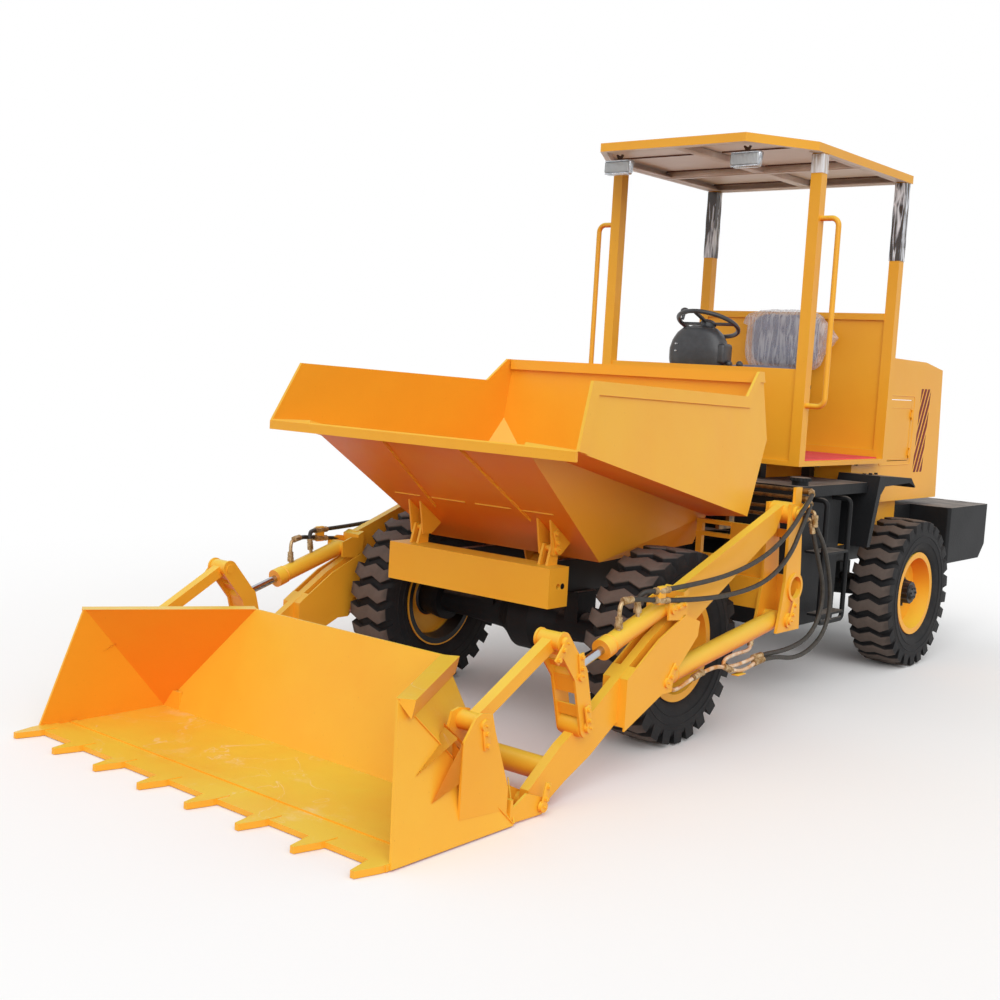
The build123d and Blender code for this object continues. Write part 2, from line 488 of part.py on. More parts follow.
# diagonal louvre slots in the sides, clipped to a window, and level ones in the rear face
window = prism_x([(2925, 1110), (2965, 1620), (3110, 1620), (3070, 1110)], -HOOD_X - 1, HOOD_X + 1)
slots = join([prism_x([(2900, z), (3130, z + 520), (3130, z + 565), (2900, z + 45)], -HOOD_X - 1, HOOD_X + 1)
              for z in range(640, 1600, 110)])
hood = hood - (window & slots)
for z in range(1080, 1600, 65):
    hood = hood - box(-380, 380, HOOD_Y1 - 100, HOOD_Y1 + 20, z, z + 25)
DOOR_Y0, DOOR_Y1, DOOR_Z0, DOOR_Z1 = 2450.0, 2836.0, 1183.0, 1549.0
hood = hood - box(HOOD_X - 20, HOOD_X + 20, DOOR_Y0, DOOR_Y1, DOOR_Z0, DOOR_Z1)
HINGE_X = HOOD_X + 8
door_knuckles = []
for z in (1230.0, 1460.0):
    door_knuckles += [cyl_z(HINGE_X, DOOR_Y1, 6.5, z - 15, z + 15) + cyl_z(HINGE_X, DOOR_Y1, 4, z - 31, z + 31),
                      box(HOOD_X - 1, HINGE_X + 2, DOOR_Y1 - 20, DOOR_Y1 - 4, z - 15, z + 15)]
    for z0 in (z - 31.3, z + 15.3):
        hood = hood + box(HOOD_X - 1, HINGE_X, DOOR_Y1, DOOR_Y1 + 16, z0, z0 + 16) \
            + cyl_z(HINGE_X, DOOR_Y1, 6.5, z0, z0 + 16)
    hood = hood - cyl_z(HINGE_X, DOOR_Y1, 4.05, z - 40, z + 40)
nodes["hood"] = hood
nodes["hood_door"] = box(HOOD_X - HOOD_T, HOOD_X, DOOR_Y0 + 4, DOOR_Y1 - 4, DOOR_Z0 + 4, DOOR_Z1 - 4) \
    + join(door_knuckles)

# ------------------------------------------------------------------ fenders, side boxes, steps
FENDER_X1 = 815.0
# outer line of the plate from its foot over the wheel, from the rear axle, then its inner line back
FENDER = [(-737, 750), (-634, 1134), (-214, 1112), (-148, 1060)]
fender = prism_x([(WHEELBASE + y, z) for y, z in FENDER + [(-158, 1056), (-218, 1100), (-626, 1122), (-725, 750)]],
                 HOOD_X, FENDER_X1)
# lip that hangs from its outer edge, deep in the front corner
fender = fender + prism_x([(WHEELBASE + y, z) for y, z in FENDER + [(-230, 1085), (-560, 1075), (-612, 1030), (-700, 750)]],
                          FENDER_X1 - 6, FENDER_X1)
nodes["fenders"] = both(fender)
sidebox = box(360, 700, 1130, 1700, 360, 1040) + box(360, 760, 1100, 1880, 1040, 1095)
sidebox = sidebox + cyl_z(700, 1210, 42, 1094, 1125)
nodes["side_boxes"] = both(sidebox)

step = bent_tube([(700, 1330, 1020), (800, 1330, 1020), (800, 1330, 385), (800, 1600, 385),
                  (800, 1600, 1020), (700, 1600, 1020)], 13, 30)
step = step + box(700, 812, 1330, 1600, 740, 752) + box(735, 812, 1330, 1600, 420, 432)
nodes["steps"] = both(step)

# ------------------------------------------------------------------ platform, posts, roof
floor = box(-PLAT_X - 30, PLAT_X + 30, POST_YF - 30, POST_YR + 30, FLOOR_Z - 25, FLOOR_Z)
wall_f = box(-PLAT_X + 30, PLAT_X - 30, POST_YF - 18, POST_YF + 18, FLOOR_Z, 1681)
wall_r = box(-PLAT_X + 30, PLAT_X - 30, POST_YR - 18, POST_YR + 18, FLOOR_Z, 2033)
# flange along the rear wall's top and rail along its foot
wall_r = wall_r + box(-PLAT_X + 30, PLAT_X - 30, POST_YR - 34, POST_YR - 17, 2033 - 38, 2033) \
    + box(-PLAT_X + 30, PLAT_X - 30, POST_YR - 30, POST_YR - 17, FLOOR_Z, FLOOR_Z + 48)
nodes["platform"] = floor + wall_f + wall_r
nodes["floor_mat"] = box(-PLAT_X + 35, PLAT_X - 5, POST_YF + 35, POST_YR - 35, FLOOR_Z, FLOOR_Z + 8)
posts = None
for y in (POST_YF, POST_YR):
    p = box(PLAT_X - POST / 2, PLAT_X + POST / 2, y - POST / 2, y + POST / 2, FLOOR_Z, ROOF_Z0)
    posts = p if posts is None else posts + p
nodes["canopy_posts"] = both(posts)
rail_tube = bent_tube([(PLAT_X + 30, POST_YF, 2445), (740, POST_YF, 2445), (740, POST_YF, 1495),
                       (PLAT_X + 30, POST_YF, 1495)], 14, 40)
nodes["handrails"] = both(rail_tube)
ROOF = [(-435, 872), (435, 872), (646, 1239), (646, 2400), (-646, 2400), (-646, 1239)]
ROOF_IN = [(-415, 902), (415, 902), (616, 1250), (616, 2370), (-616, 2370), (-616, 1250)]
roof = prism_z(ROOF, ROOF_Z0, ROOF_Z1) - prism_z(ROOF_IN, ROOF_Z0 - 1, ROOF_Z1 - 4)
nodes["roof_frame"] = roof + box(-617, 617, 1800, 1830, ROOF_Z0, ROOF_Z1 - 3) \
    + box(-15, 15, 901, 2371, ROOF_Z0 + 4, ROOF_Z1 - 3)
nodes["lamps"] = both(box(310, 430, 975, 1040, 2690, 2750) + box(360, 380, 1000, 1020, 2745, ROOF_Z1 - 4))

# ------------------------------------------------------------------ driver's place
WHEEL_R = 168.0
POD_X, POD_Y = -85.0, 1427.0                        # middle of the console, right of the machine's middle
wheel_plane = Plane(origin=(POD_X + 25, POD_Y + 39, 1907), z_dir=(0, 0.36, 0.93))
nodes["console"] = Pos(POD_X, POD_Y) * (
    loft([Plane.XY.offset(FLOOR_Z + 8) * Rectangle(200, 140), Plane.XY.offset(1600) * Rectangle(180, 130)])
    + loft([Plane.XY.offset(1599) * Rectangle(290, 140), Plane.XY.offset(1745) * Rectangle(350, 156),
            Plane.XY.offset(1850) * Rectangle(240, 120)])) + wheel_plane * Pos(0, 0, -67) * Cylinder(22, 80)
nodes["steering_wheel"] = wheel_plane * (Torus(WHEEL_R, 12) + Pos(0, 0, -14) * Cylinder(42, 26)
                                         + Box(2 * WHEEL_R - 10, 22, 10) + Box(22, 2 * WHEEL_R - 10, 10))
nodes["seat"] = box(-230, 230, 1840, 2290, 1600, 1700) + box(-230, 230, 2200, 2300, 1690, 2030) \
    + box(-150, 150, 1900, 2250, FLOOR_Z + 8, 1601)
levers = box(90, 200, 1400, 1450, FLOOR_Z + 8, FLOOR_Z + 60)
for x in (112, 177):
    levers = levers + rod((x, 1425, FLOOR_Z + 50), (x, 1425, 1700), 9)
nodes["levers"] = levers

os.makedirs("parts", exist_ok=True)
for name, shape in nodes.items():
    export_step(Pos(0, OY, 0) * shape, "parts/" + name + ".step")
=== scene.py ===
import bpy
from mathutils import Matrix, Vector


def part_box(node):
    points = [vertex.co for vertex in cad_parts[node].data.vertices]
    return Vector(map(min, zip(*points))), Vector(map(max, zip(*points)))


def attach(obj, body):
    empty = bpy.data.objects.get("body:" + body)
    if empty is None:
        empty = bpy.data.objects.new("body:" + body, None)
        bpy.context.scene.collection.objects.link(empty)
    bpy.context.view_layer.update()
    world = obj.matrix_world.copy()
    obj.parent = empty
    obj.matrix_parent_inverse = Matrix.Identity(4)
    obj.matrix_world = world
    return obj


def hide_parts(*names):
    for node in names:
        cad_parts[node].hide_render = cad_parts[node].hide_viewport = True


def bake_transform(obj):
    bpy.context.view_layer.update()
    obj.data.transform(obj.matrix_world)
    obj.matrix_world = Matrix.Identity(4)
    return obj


bl_info = {
    "name": "Site dumper dressing",
    "version": (1, 0, 0),
    "blender": (4, 5, 0),
    "location": "View3D > Sidebar > Dumper",
    "description": "Dresses the packed site dumper with its tyres, hoses, films, fastenings and paint",
    "category": "Object",
}

import math

import bmesh
import bpy
from mathutils import Matrix, Vector, noise

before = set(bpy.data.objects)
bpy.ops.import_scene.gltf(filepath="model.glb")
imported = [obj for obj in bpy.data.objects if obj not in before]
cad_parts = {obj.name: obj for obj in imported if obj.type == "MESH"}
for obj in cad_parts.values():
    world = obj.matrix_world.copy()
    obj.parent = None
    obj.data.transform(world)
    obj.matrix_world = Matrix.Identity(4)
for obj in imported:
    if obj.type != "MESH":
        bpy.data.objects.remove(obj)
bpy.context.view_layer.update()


def middle(node):
    """Middle of a CAD node's box at rest."""
    low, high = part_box(node)
    return (low + high) / 2


WHEELS = ("fl", "fr", "rl", "rr")
SIDES = ((1, "left"), (-1, "right"))
X, Y, Z = (Vector(axis) for axis in ((1, 0, 0), (0, 1, 0), (0, 0, 1)))
FRONT_Y = middle("rim_fl").y                         # front axle
HOOD_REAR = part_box("hood")[1].y - FRONT_Y            # hood's rear face, from the front axle
LOADER_X = 0.95                                      # middle of a side's cylinders and crank, across

# Hinge pins: body, outer face x, y and z from the front axle, keeper's turn in degrees
PINS = {
    "arm_pivot": ("front_frame", 1.026, 0.575, 1.015, 60),
    "lift_foot": ("front_frame", 1.026, 0.574, 0.522, 20),
    "lift_eye": ("lift_arms", 1.008, -0.414, 0.373, 40),
    "tilt_foot": ("lift_arms", 1.005, -0.399, 0.673, 80),
    "crank_top": ("bell_cranks", 1.015, -1.123, 0.626, -140),
    "crank_middle": ("bell_cranks", 1.007, -1.006, 0.487, -10),
    "crank_foot": ("bell_cranks", 1.015, -0.950, 0.283, -15),
    "link_foot": ("bucket", 1.007, -1.545, 0.393, 170),
    "bucket_hinge": ("bucket", 1.015, -1.205, 0.036, 15),
    "skip_hinge": ("skip", 0.421, -0.420, 0.840, -20),
}
# Loader's cylinders: pin at the foot, pin at the rod's eye, from the foot to the head's face, barrel's
# radius, radius of the rod's painted eye
CYLINDERS = {
    "tilt": ("tilt_foot", "crank_middle", 0.428, 0.043, 0.0335),
    "lift": ("lift_foot", "lift_eye", 0.938, 0.045, 0.0375),
}


def at(x, y, z):
    """Place given from the front axle backwards, on the ground, in metres."""
    return Vector((x, y + FRONT_Y, z))


def on_side(side, places):
    """Places given for the machine's left, put on its left for 1 and on its right for -1."""
    return [at(side * x, y, z) for x, y, z in places]


def around(centre, across, up, radius, count):
    """Places spread evenly on a circle that starts across its centre and turns up."""
    turns = [2 * math.pi * i / count for i in range(count)]
    return [centre + (across * math.cos(turn) + up * math.sin(turn)) * radius for turn in turns]


# ------------------------------------------------------------------ settings
class DumperColours(bpy.types.PropertyGroup):
    """Finishes, as sRGB hex values."""
    paint: bpy.props.StringProperty(
        name="Paint", default="F4AF2E", maxlen=6, description="Machine enamel on upright faces")
    # painted highlight: the full coat tone makes upward faces lighter and yellower, standing for the light
    # that falls on them
    painted_highlight: bpy.props.StringProperty(
        name="Paint, full coat", default="E9CA44", maxlen=6, description="The enamel on upward faces")
    # painted shade: the thin coat tone makes downward faces redder and darker, standing for the shade under
    # them
    painted_shade: bpy.props.StringProperty(
        name="Paint, thin coat", default="F05E10", maxlen=6, description="The enamel on downward faces")
    paint_deep: bpy.props.StringProperty(
        name="Paint, clouds", default="EE9A26", maxlen=6, description="Where the coat is a little thinner")
    black: bpy.props.StringProperty(
        name="Frame black", default="131416", maxlen=6, description="Chassis enamel")
    dust: bpy.props.StringProperty(
        name="Dust", default="A89C92", maxlen=6, description="Dry dust on the upper faces of black parts")
    rubber: bpy.props.StringProperty(
        name="Tyre rubber", default="19191B", maxlen=6, description="Tyre sidewall and grooves")
    lug_dust: bpy.props.StringProperty(
        name="Lug dust", default="74665E", maxlen=6, description="Dry dust on the lugs' tops")
    mat: bpy.props.StringProperty(
        name="Floor mat", default="F0505F", maxlen=6, description="Ribbed vinyl mat")
    cream: bpy.props.StringProperty(
        name="Roof lining", default="F2E6E0", maxlen=6, description="Pale primer under the roof")
    seat: bpy.props.StringProperty(
        name="Seat", default="757A90", maxlen=6, description="Seat cover, blue grey")


class DumperSizes(bpy.types.PropertyGroup):
    """Sizes of the pieces that are added to the frame."""
    lug_count: bpy.props.IntProperty(
        name="Lugs", default=26, min=12, max=40, description="Lugs round one tyre")
    lug_depth: bpy.props.FloatProperty(
        name="Lug depth", default=0.024, unit="LENGTH", description="Groove depth between two lugs")
    lug_half: bpy.props.FloatProperty(
        name="Lug half width", default=0.031, unit="LENGTH", description="Half of a lug, along the tread")
    hose: bpy.props.FloatProperty(
        name="Hose radius", default=0.0105, unit="LENGTH", description="Outside radius of a hydraulic hose")
    pipe: bpy.props.FloatProperty(
        name="Pipe radius", default=0.0085, unit="LENGTH", description="Outside radius of a steel pipe")
    bead: bpy.props.FloatProperty(
        name="Weld bead", default=0.0045, unit="LENGTH", description="Radius of a fillet weld's bead")


class StudioSettings(bpy.types.PropertyGroup):
    """Camera and light."""
    lens: bpy.props.FloatProperty(
        name="Lens", default=47.65, unit="CAMERA", description="Focal length in mm on a 36 mm sensor")
    azimuth: bpy.props.FloatProperty(
        name="Azimuth", default=39.681, description="Degrees from straight ahead towards the left")
    elevation: bpy.props.FloatProperty(
        name="Elevation", default=5.638, description="Degrees that the camera looks down")
    roll: bpy.props.FloatProperty(
        name="Roll", default=3.266, description="Degrees that the camera turns about its line of sight")
    place: bpy.props.FloatVectorProperty(
        name="Place", default=(3.811, -5.733, 1.594), subtype="TRANSLATION",
        description="Camera position")
    sky: bpy.props.FloatProperty(
        name="Sky", default=0.76, min=0, description="Strength of the even light from all round")
    sun: bpy.props.FloatProperty(
        name="Key light", default=1.6, min=0, description="Strength of the soft key light")
    sun_azimuth: bpy.props.FloatProperty(
        name="Key azimuth", default=43.0, description="Degrees from straight ahead towards the left")
    sun_elevation: bpy.props.FloatProperty(
        name="Key elevation", default=32.0, description="Degrees that the key light stands above the floor")
    sun_angle: bpy.props.FloatProperty(
        name="Key softness", default=60.0, min=0, description="Degrees across that the key light spans")


# ------------------------------------------------------------------ materials
NOISE, MIX, RANGE, MATH = "ShaderNodeTexNoise", "ShaderNodeMix", "ShaderNodeMapRange", "ShaderNodeMath"
VECTOR, SPLIT, SURFACE = "ShaderNodeVectorMath", "ShaderNodeSeparateXYZ", "ShaderNodeNewGeometry"
BUMP, WAVE = "ShaderNodeBump", "ShaderNodeTexWave"
COLOUR = {"data_type": "RGBA"}
FACTOR, FIRST, SECOND = 0, 6, 7                      # a colour mix's inputs
PRINCIPLED, OUTPUT = "ShaderNodeBsdfPrincipled", "ShaderNodeOutputMaterial"


def srgb(code):
    """Linear colour of an sRGB hex value."""
    channels = [int(code[i:i + 2], 16) / 255 for i in (0, 2, 4)]
    return tuple(c / 12.92 if c <= 0.04045 else ((c + 0.055) / 1.055) ** 2.4 for c in channels) + (1.0,)


def add(tree, kind, links, **settings):
    """Adds a node. Settings are its properties; links gives each input a value, a socket or a node."""
    node = tree.nodes.new(kind)
    for name, value in settings.items():
        setattr(node, name, value)
    for name, value in links.items():
        if isinstance(value, bpy.types.Node):
            value = value.outputs[2 if value.bl_idname == MIX else 0]
        if isinstance(value, bpy.types.NodeSocket):
            tree.links.new(value, node.inputs[name])
        else:
            node.inputs[name].default_value = value
    return node


def every(size):
    """Scale of a noise whose lumps are a size across, in millimetres."""
    return 1000 / size


def fluting(size):
    """Scale of a wave that repeats at a size, in millimetres. One of scale s repeats every 2 pi / 20 s m."""
    return math.pi / (10 * size / 1000)


def finish(colour, height, distance, tree, **shader):
    """Closes a material: one shader with its colour, relief and set values."""
    surface = add(tree, PRINCIPLED, {name.replace("_", " "): value for name, value in shader.items()})
    tree.links.new(colour.outputs[2 if colour.bl_idname == MIX else 0], surface.inputs["Base Color"])
    if height:
        relief = add(tree, BUMP, {"Height": height, "Distance": distance})
        tree.links.new(relief.outputs[0], surface.inputs["Normal"])
    add(tree, OUTPUT, {"Surface": surface})
    return surface


def start(name):
    """Empty material; gives it, its tree and its Object coordinates."""
    material = bpy.data.materials.new(name)
    material.use_nodes = True
    tree = material.node_tree
    tree.nodes.clear()
    return material, tree, add(tree, "ShaderNodeTexCoord", {}).outputs["Object"]


def facing_up(tree):
    """How far the surface faces up: 1 on top, 0 on an upright wall, -1 underneath."""
    direction = add(tree, SURFACE, {}).outputs["Normal"]
    return add(tree, SPLIT, {"Vector": direction}).outputs["Z"]


def from_axle(tree, place, centre):
    """Distance from the line across the machine that goes through a centre."""
    offset = add(tree, VECTOR, {0: place, 1: centre}, operation="SUBTRACT")
    side = add(tree, VECTOR, {0: offset, 1: (0, 1, 1)}, operation="MULTIPLY")
    return add(tree, VECTOR, {0: side}, operation="LENGTH").outputs["Value"]


def enamel_with_painted_light(tree, place, colours):
    """Sprayed enamel, cloudy at half a metre, with painted light: a yellower painted highlight on top and a
    redder painted shade underneath.
    """
    up = facing_up(tree)
    # painted light: below and above mix in the painted shade of downward faces and the painted highlight of
    # upward faces
    below = add(tree, RANGE, {"Value": up, "From Min": -1.0, "From Max": 0.0})
    above = add(tree, RANGE, {"Value": up, "From Min": 0.0, "From Max": 1.0})
    sides = add(tree, MIX, {FACTOR: below, FIRST: srgb(colours.painted_shade),
                            SECOND: srgb(colours.paint)}, **COLOUR)
    coat = add(tree, MIX, {FACTOR: above, FIRST: sides, SECOND: srgb(colours.painted_highlight)}, **COLOUR)
    clouds = add(tree, NOISE, {"Vector": place, "Scale": every(455), "Detail": 4.0, "Roughness": 0.6})
    cloudy = add(tree, RANGE, {"Value": clouds, "From Min": 0.38, "From Max": 0.7, "To Max": 0.32})
    tone = add(tree, MIX, {FACTOR: cloudy, FIRST: coat, SECOND: srgb(colours.paint_deep)}, **COLOUR)
    specks = add(tree, NOISE, {"Vector": place, "Scale": every(6.67), "Detail": 1.0})
    nibs = add(tree, RANGE, {"Value": specks, "From Min": 0.75, "From Max": 0.81, "To Max": 0.4})
    return add(tree, MIX, {FACTOR: nibs, FIRST: tone, SECOND: srgb("B4641A")}, **COLOUR)


def plate_waves(tree, place):
    """Relief of sprayed plate: faint orange peel on broad shallow waves."""
    peel = add(tree, NOISE, {"Vector": place, "Scale": every(3.33)})
    waves = add(tree, NOISE, {"Vector": place, "Scale": every(200), "Detail": 1.0})
    return add(tree, MATH, {0: peel, 1: 0.05, 2: waves}, operation="MULTIPLY_ADD")


# Alkyd machine enamel, sprayed on plate: even colour but for its painted highlight on top and painted shade
# underneath, soft gloss, faint orange peel
def machine_enamel(colours):
    material, tree, place = start("machine_enamel")
    finish(enamel_with_painted_light(tree, place, colours), plate_waves(tree, place), 0.003, tree,
           Roughness=0.4, Specular_IOR_Level=0.35, Coat_Weight=0.08, Coat_Roughness=0.2)
    return material


# The same enamel on the bucket, with pale hazy rubs and thin scratches that loads leave on its floor
def rubbed_enamel(colours):
    material, tree, place = start("rubbed_enamel")
    bent = add(tree, NOISE, {"Vector": place, "Scale": every(385), "Detail": 5.0, "Distortion": 0.8})
    off = add(tree, MATH, {0: bent, 1: 0.5}, operation="SUBTRACT")
    line = add(tree, MATH, {0: off}, operation="ABSOLUTE")
    scratch = add(tree, RANGE, {"Value": line, "From Min": 0.005, "From Max": 0.0, "To Max": 0.5})
    patches = add(tree, NOISE, {"Vector": place, "Scale": every(303), "Detail": 6.0, "Roughness": 0.75})
    haze = add(tree, RANGE, {"Value": patches, "From Min": 0.56, "From Max": 0.74, "To Max": 0.5})
    rubbed = add(tree, MATH, {0: scratch, 1: haze}, operation="MAXIMUM")
    floor = add(tree, RANGE, {"Value": facing_up(tree), "From Min": 0.5, "From Max": 0.9})
    spread = add(tree, NOISE, {"Vector": place, "Scale": every(714)})
    partly = add(tree, RANGE, {"Value": spread, "From Min": 0.46, "From Max": 0.56})
    where = add(tree, MATH, {0: floor, 1: partly}, operation="MULTIPLY")
    share = add(tree, MATH, {0: rubbed, 1: where}, operation="MULTIPLY")
    tone = add(tree, MIX, {FACTOR: share, FIRST: enamel_with_painted_light(tree, place, colours),
                           SECOND: srgb("F3E3C8")}, **COLOUR)
    finish(tone, plate_waves(tree, place), 0.004, tree,
           Roughness=0.42, Specular_IOR_Level=0.35, Coat_Weight=0.06, Coat_Roughness=0.2)
    return material


def black_coat(tree, place, colours, dusty=0.55):
    """Black enamel with dry grey dust that settles on upward faces."""
    patchy = add(tree, NOISE, {"Vector": place, "Scale": every(286), "Detail": 3.0})
    shade = add(tree, RANGE, {"Value": patchy, "From Min": 0.4, "From Max": 0.7})
    tone = add(tree, MIX, {FACTOR: shade, FIRST: srgb(colours.black), SECOND: srgb("1E1F21")}, **COLOUR)
    upper = add(tree, RANGE, {"Value": facing_up(tree), "From Min": 0.6, "From Max": 0.97, "To Max": dusty})
    grains = add(tree, NOISE, {"Vector": place, "Scale": every(111), "Detail": 6.0, "Roughness": 0.7})
    settled = add(tree, RANGE, {"Value": grains, "From Min": 0.3, "From Max": 0.62, "To Min": 0.25})
    dust = add(tree, MATH, {0: upper, 1: settled}, operation="MULTIPLY")
    return add(tree, MIX, {FACTOR: dust, FIRST: tone, SECOND: srgb(colours.dust)}, **COLOUR)


# Black chassis enamel on rough castings and flame cut plate, greyed by dust on its upper faces
def chassis_black(colours):
    material, tree, place = start("chassis_black")
    rough = add(tree, NOISE, {"Vector": place, "Scale": every(12.5), "Detail": 3.0})
    finish(black_coat(tree, place, colours), rough, 0.001, tree, Roughness=0.55, Specular_IOR_Level=0.22)
    return material


def two_tone(name, colours, choose):
    """Enamel that is orange where choose(tree, place's x, y and z) gives 1 and black elsewhere."""
    material, tree, place = start(name)
    share = choose(tree, add(tree, SPLIT, {"Vector": place}).outputs)
    tone = add(tree, MIX, {FACTOR: share, FIRST: black_coat(tree, place, colours),
                           SECOND: enamel_with_painted_light(tree, place, colours)}, **COLOUR)
    finish(tone, plate_waves(tree, place), 0.003, tree, Roughness=0.42, Specular_IOR_Level=0.35)
    return material


def orange_front(tree, xyz):
    """The front beam and what stands outside the rails is orange."""
    beam_rear, rail_side = FRONT_Y - 0.395, 0.45
    beam = add(tree, RANGE, {"Value": xyz["Y"], "From Min": beam_rear + 0.003, "From Max": beam_rear - 0.003})
    width = add(tree, MATH, {0: xyz["X"]}, operation="ABSOLUTE")
    outside = add(tree, RANGE, {"Value": width, "From Min": rail_side - 0.01, "From Max": rail_side + 0.01})
    return add(tree, MATH, {0: beam, 1: outside}, operation="MAXIMUM")


def orange_inset(tree, xyz):
    """The panel under the hood is orange."""
    inset_side, inset_front = 0.486, FRONT_Y + 2.03
    width = add(tree, MATH, {0: xyz["X"]}, operation="ABSOLUTE")
    outside = add(tree, RANGE, {"Value": width, "From Min": inset_side - 0.002,
                                "From Max": inset_side + 0.002})
    rear = add(tree, RANGE, {"Value": xyz["Y"], "From Min": inset_front - 0.01,
                             "From Max": inset_front + 0.01})
    return add(tree, MATH, {0: outside, 1: rear}, operation="MULTIPLY")


# Roof: enamel outside, pale primer under it and on the inner side of its frame
def roof_finish(colours):
    material, tree, place = start("roof_finish")
    from_middle = add(tree, VECTOR, {0: place, 1: middle("roof_frame")}, operation="SUBTRACT")
    flat = add(tree, VECTOR, {0: from_middle, 1: (1, 1, 0)}, operation="MULTIPLY")
    direction = add(tree, SURFACE, {}).outputs["Normal"]
    outwards = add(tree, VECTOR, {0: flat, 1: direction}, operation="DOT_PRODUCT")
    inner = add(tree, RANGE, {"Value": outwards.outputs["Value"], "From Min": -0.01, "From Max": -0.05})
    under = add(tree, RANGE, {"Value": facing_up(tree), "From Min": -0.5, "From Max": -0.6})
    lining = add(tree, MATH, {0: inner, 1: under}, operation="MAXIMUM")
    stains = add(tree, NOISE, {"Vector": place, "Scale": every(333), "Detail": 4.0})
    primer = add(tree, MIX, {FACTOR: stains, FIRST: srgb(colours.cream), SECOND: srgb("E0D0C8")}, **COLOUR)
    tone = add(tree, MIX, {FACTOR: lining, FIRST: enamel_with_painted_light(tree, place, colours), SECOND: primer},
               **COLOUR)
    finish(tone, plate_waves(tree, place), 0.004, tree, Roughness=0.45)
    return material


# Hard chromed steel rod, ground and polished: bright and smooth, but its welded eye has the barrel's paint
def chromed_rod(colours, name, eye, radius):
    material, tree, place = start(name)
    away = from_axle(tree, place, eye)
    steel = add(tree, RANGE, {"Value": away, "From Min": radius, "From Max": radius + 0.001})
    tone = add(tree, MIX, {FACTOR: steel, FIRST: enamel_with_painted_light(tree, place, colours),
                           SECOND: srgb("B9BDC3")}, **COLOUR)
    surface = finish(tone, None, 0, tree)
    tree.links.new(steel.outputs[0], surface.inputs["Metallic"])
    gloss = add(tree, RANGE, {"Value": steel, "To Min": 0.42, "To Max": 0.2})
    tree.links.new(gloss.outputs[0], surface.inputs["Roughness"])
    return material


# Natural rubber compound, moulded: matt black, with dry grey brown dust on the lugs' tops
def tyre_rubber(colours, wheel, tyre_radius, lug_depth):
    material, tree, place = start("tyre_rubber_" + wheel)
    radius = from_axle(tree, place, middle("rim_" + wheel))
    lumps = add(tree, NOISE, {"Vector": place, "Scale": every(50), "Detail": 5.0, "Roughness": 0.7})
    dust = add(tree, MIX, {FACTOR: lumps, FIRST: srgb(colours.lug_dust), SECOND: srgb("564C46")}, **COLOUR)
    top = add(tree, RANGE, {"Value": radius, "From Min": tyre_radius - lug_depth * 0.4,
                            "From Max": tyre_radius - lug_depth * 0.15, "To Max": 0.92})
    smears = add(tree, NOISE, {"Vector": place, "Scale": every(167), "Detail": 5.0, "Roughness": 0.7})
    film = add(tree, RANGE, {"Value": smears, "From Min": 0.45, "From Max": 0.75, "To Max": 0.3})
    wall = add(tree, MIX, {FACTOR: film, FIRST: srgb(colours.rubber), SECOND: srgb("45413D")}, **COLOUR)
    tone = add(tree, MIX, {FACTOR: top, FIRST: wall, SECOND: dust}, **COLOUR)
    grain = add(tree, NOISE, {"Vector": place, "Scale": every(3.33), "Detail": 3.0})
    finish(tone, grain, 0.0008, tree, Roughness=0.72, Specular_IOR_Level=0.3)
    return material


# Pressed steel rim: enamel outside, black at the hub and on the wheel's inner side but for its edge
def rim_enamel(colours, wheel, hub_radius, edge_radius):
    material, tree, place = start("rim_enamel_" + wheel)
    centre = middle("rim_" + wheel)
    radius = from_axle(tree, place, centre)
    offset = add(tree, VECTOR, {0: place, 1: centre}, operation="SUBTRACT")
    x = add(tree, SPLIT, {"Vector": offset}).outputs["X"]
    outwards = add(tree, MATH, {0: x, 1: math.copysign(1.0, centre.x)}, operation="MULTIPLY")
    inside = add(tree, RANGE, {"Value": outwards, "From Min": -0.02, "From Max": -0.03})
    within_edge = add(tree, RANGE, {"Value": radius, "From Min": edge_radius + 0.0005,
                                    "From Max": edge_radius - 0.0005})
    dark_side = add(tree, MATH, {0: inside, 1: within_edge}, operation="MULTIPLY")
    hub = add(tree, RANGE, {"Value": radius, "From Min": hub_radius, "From Max": hub_radius - 0.002})
    share = add(tree, MATH, {0: hub, 1: dark_side}, operation="MAXIMUM")
    tone = add(tree, MIX, {FACTOR: share, FIRST: enamel_with_painted_light(tree, place, colours),
                           SECOND: black_coat(tree, place, colours, 0.2)}, **COLOUR)
    finish(tone, plate_waves(tree, place), 0.001, tree, Roughness=0.4, Specular_IOR_Level=0.4)
    return material


def plain(name, colour, second, size, rough, height=0.0005, **shader):
    """Finish of two close tones in lumps of a size in millimetres, with a matching fine relief."""
    material, tree, place = start(name)
    lumps = add(tree, NOISE, {"Vector": place, "Scale": every(size), "Detail": 4.0, "Roughness": 0.65})
    share = add(tree, RANGE, {"Value": lumps, "From Min": 0.35, "From Max": 0.65})
    tone = add(tree, MIX, {FACTOR: share, FIRST: srgb(colour), SECOND: srgb(second)}, **COLOUR)
    grain = add(tree, NOISE, {"Vector": place, "Scale": every(size / 6)})
    finish(tone, grain, height, tree, Roughness=rough, **shader)
    return material


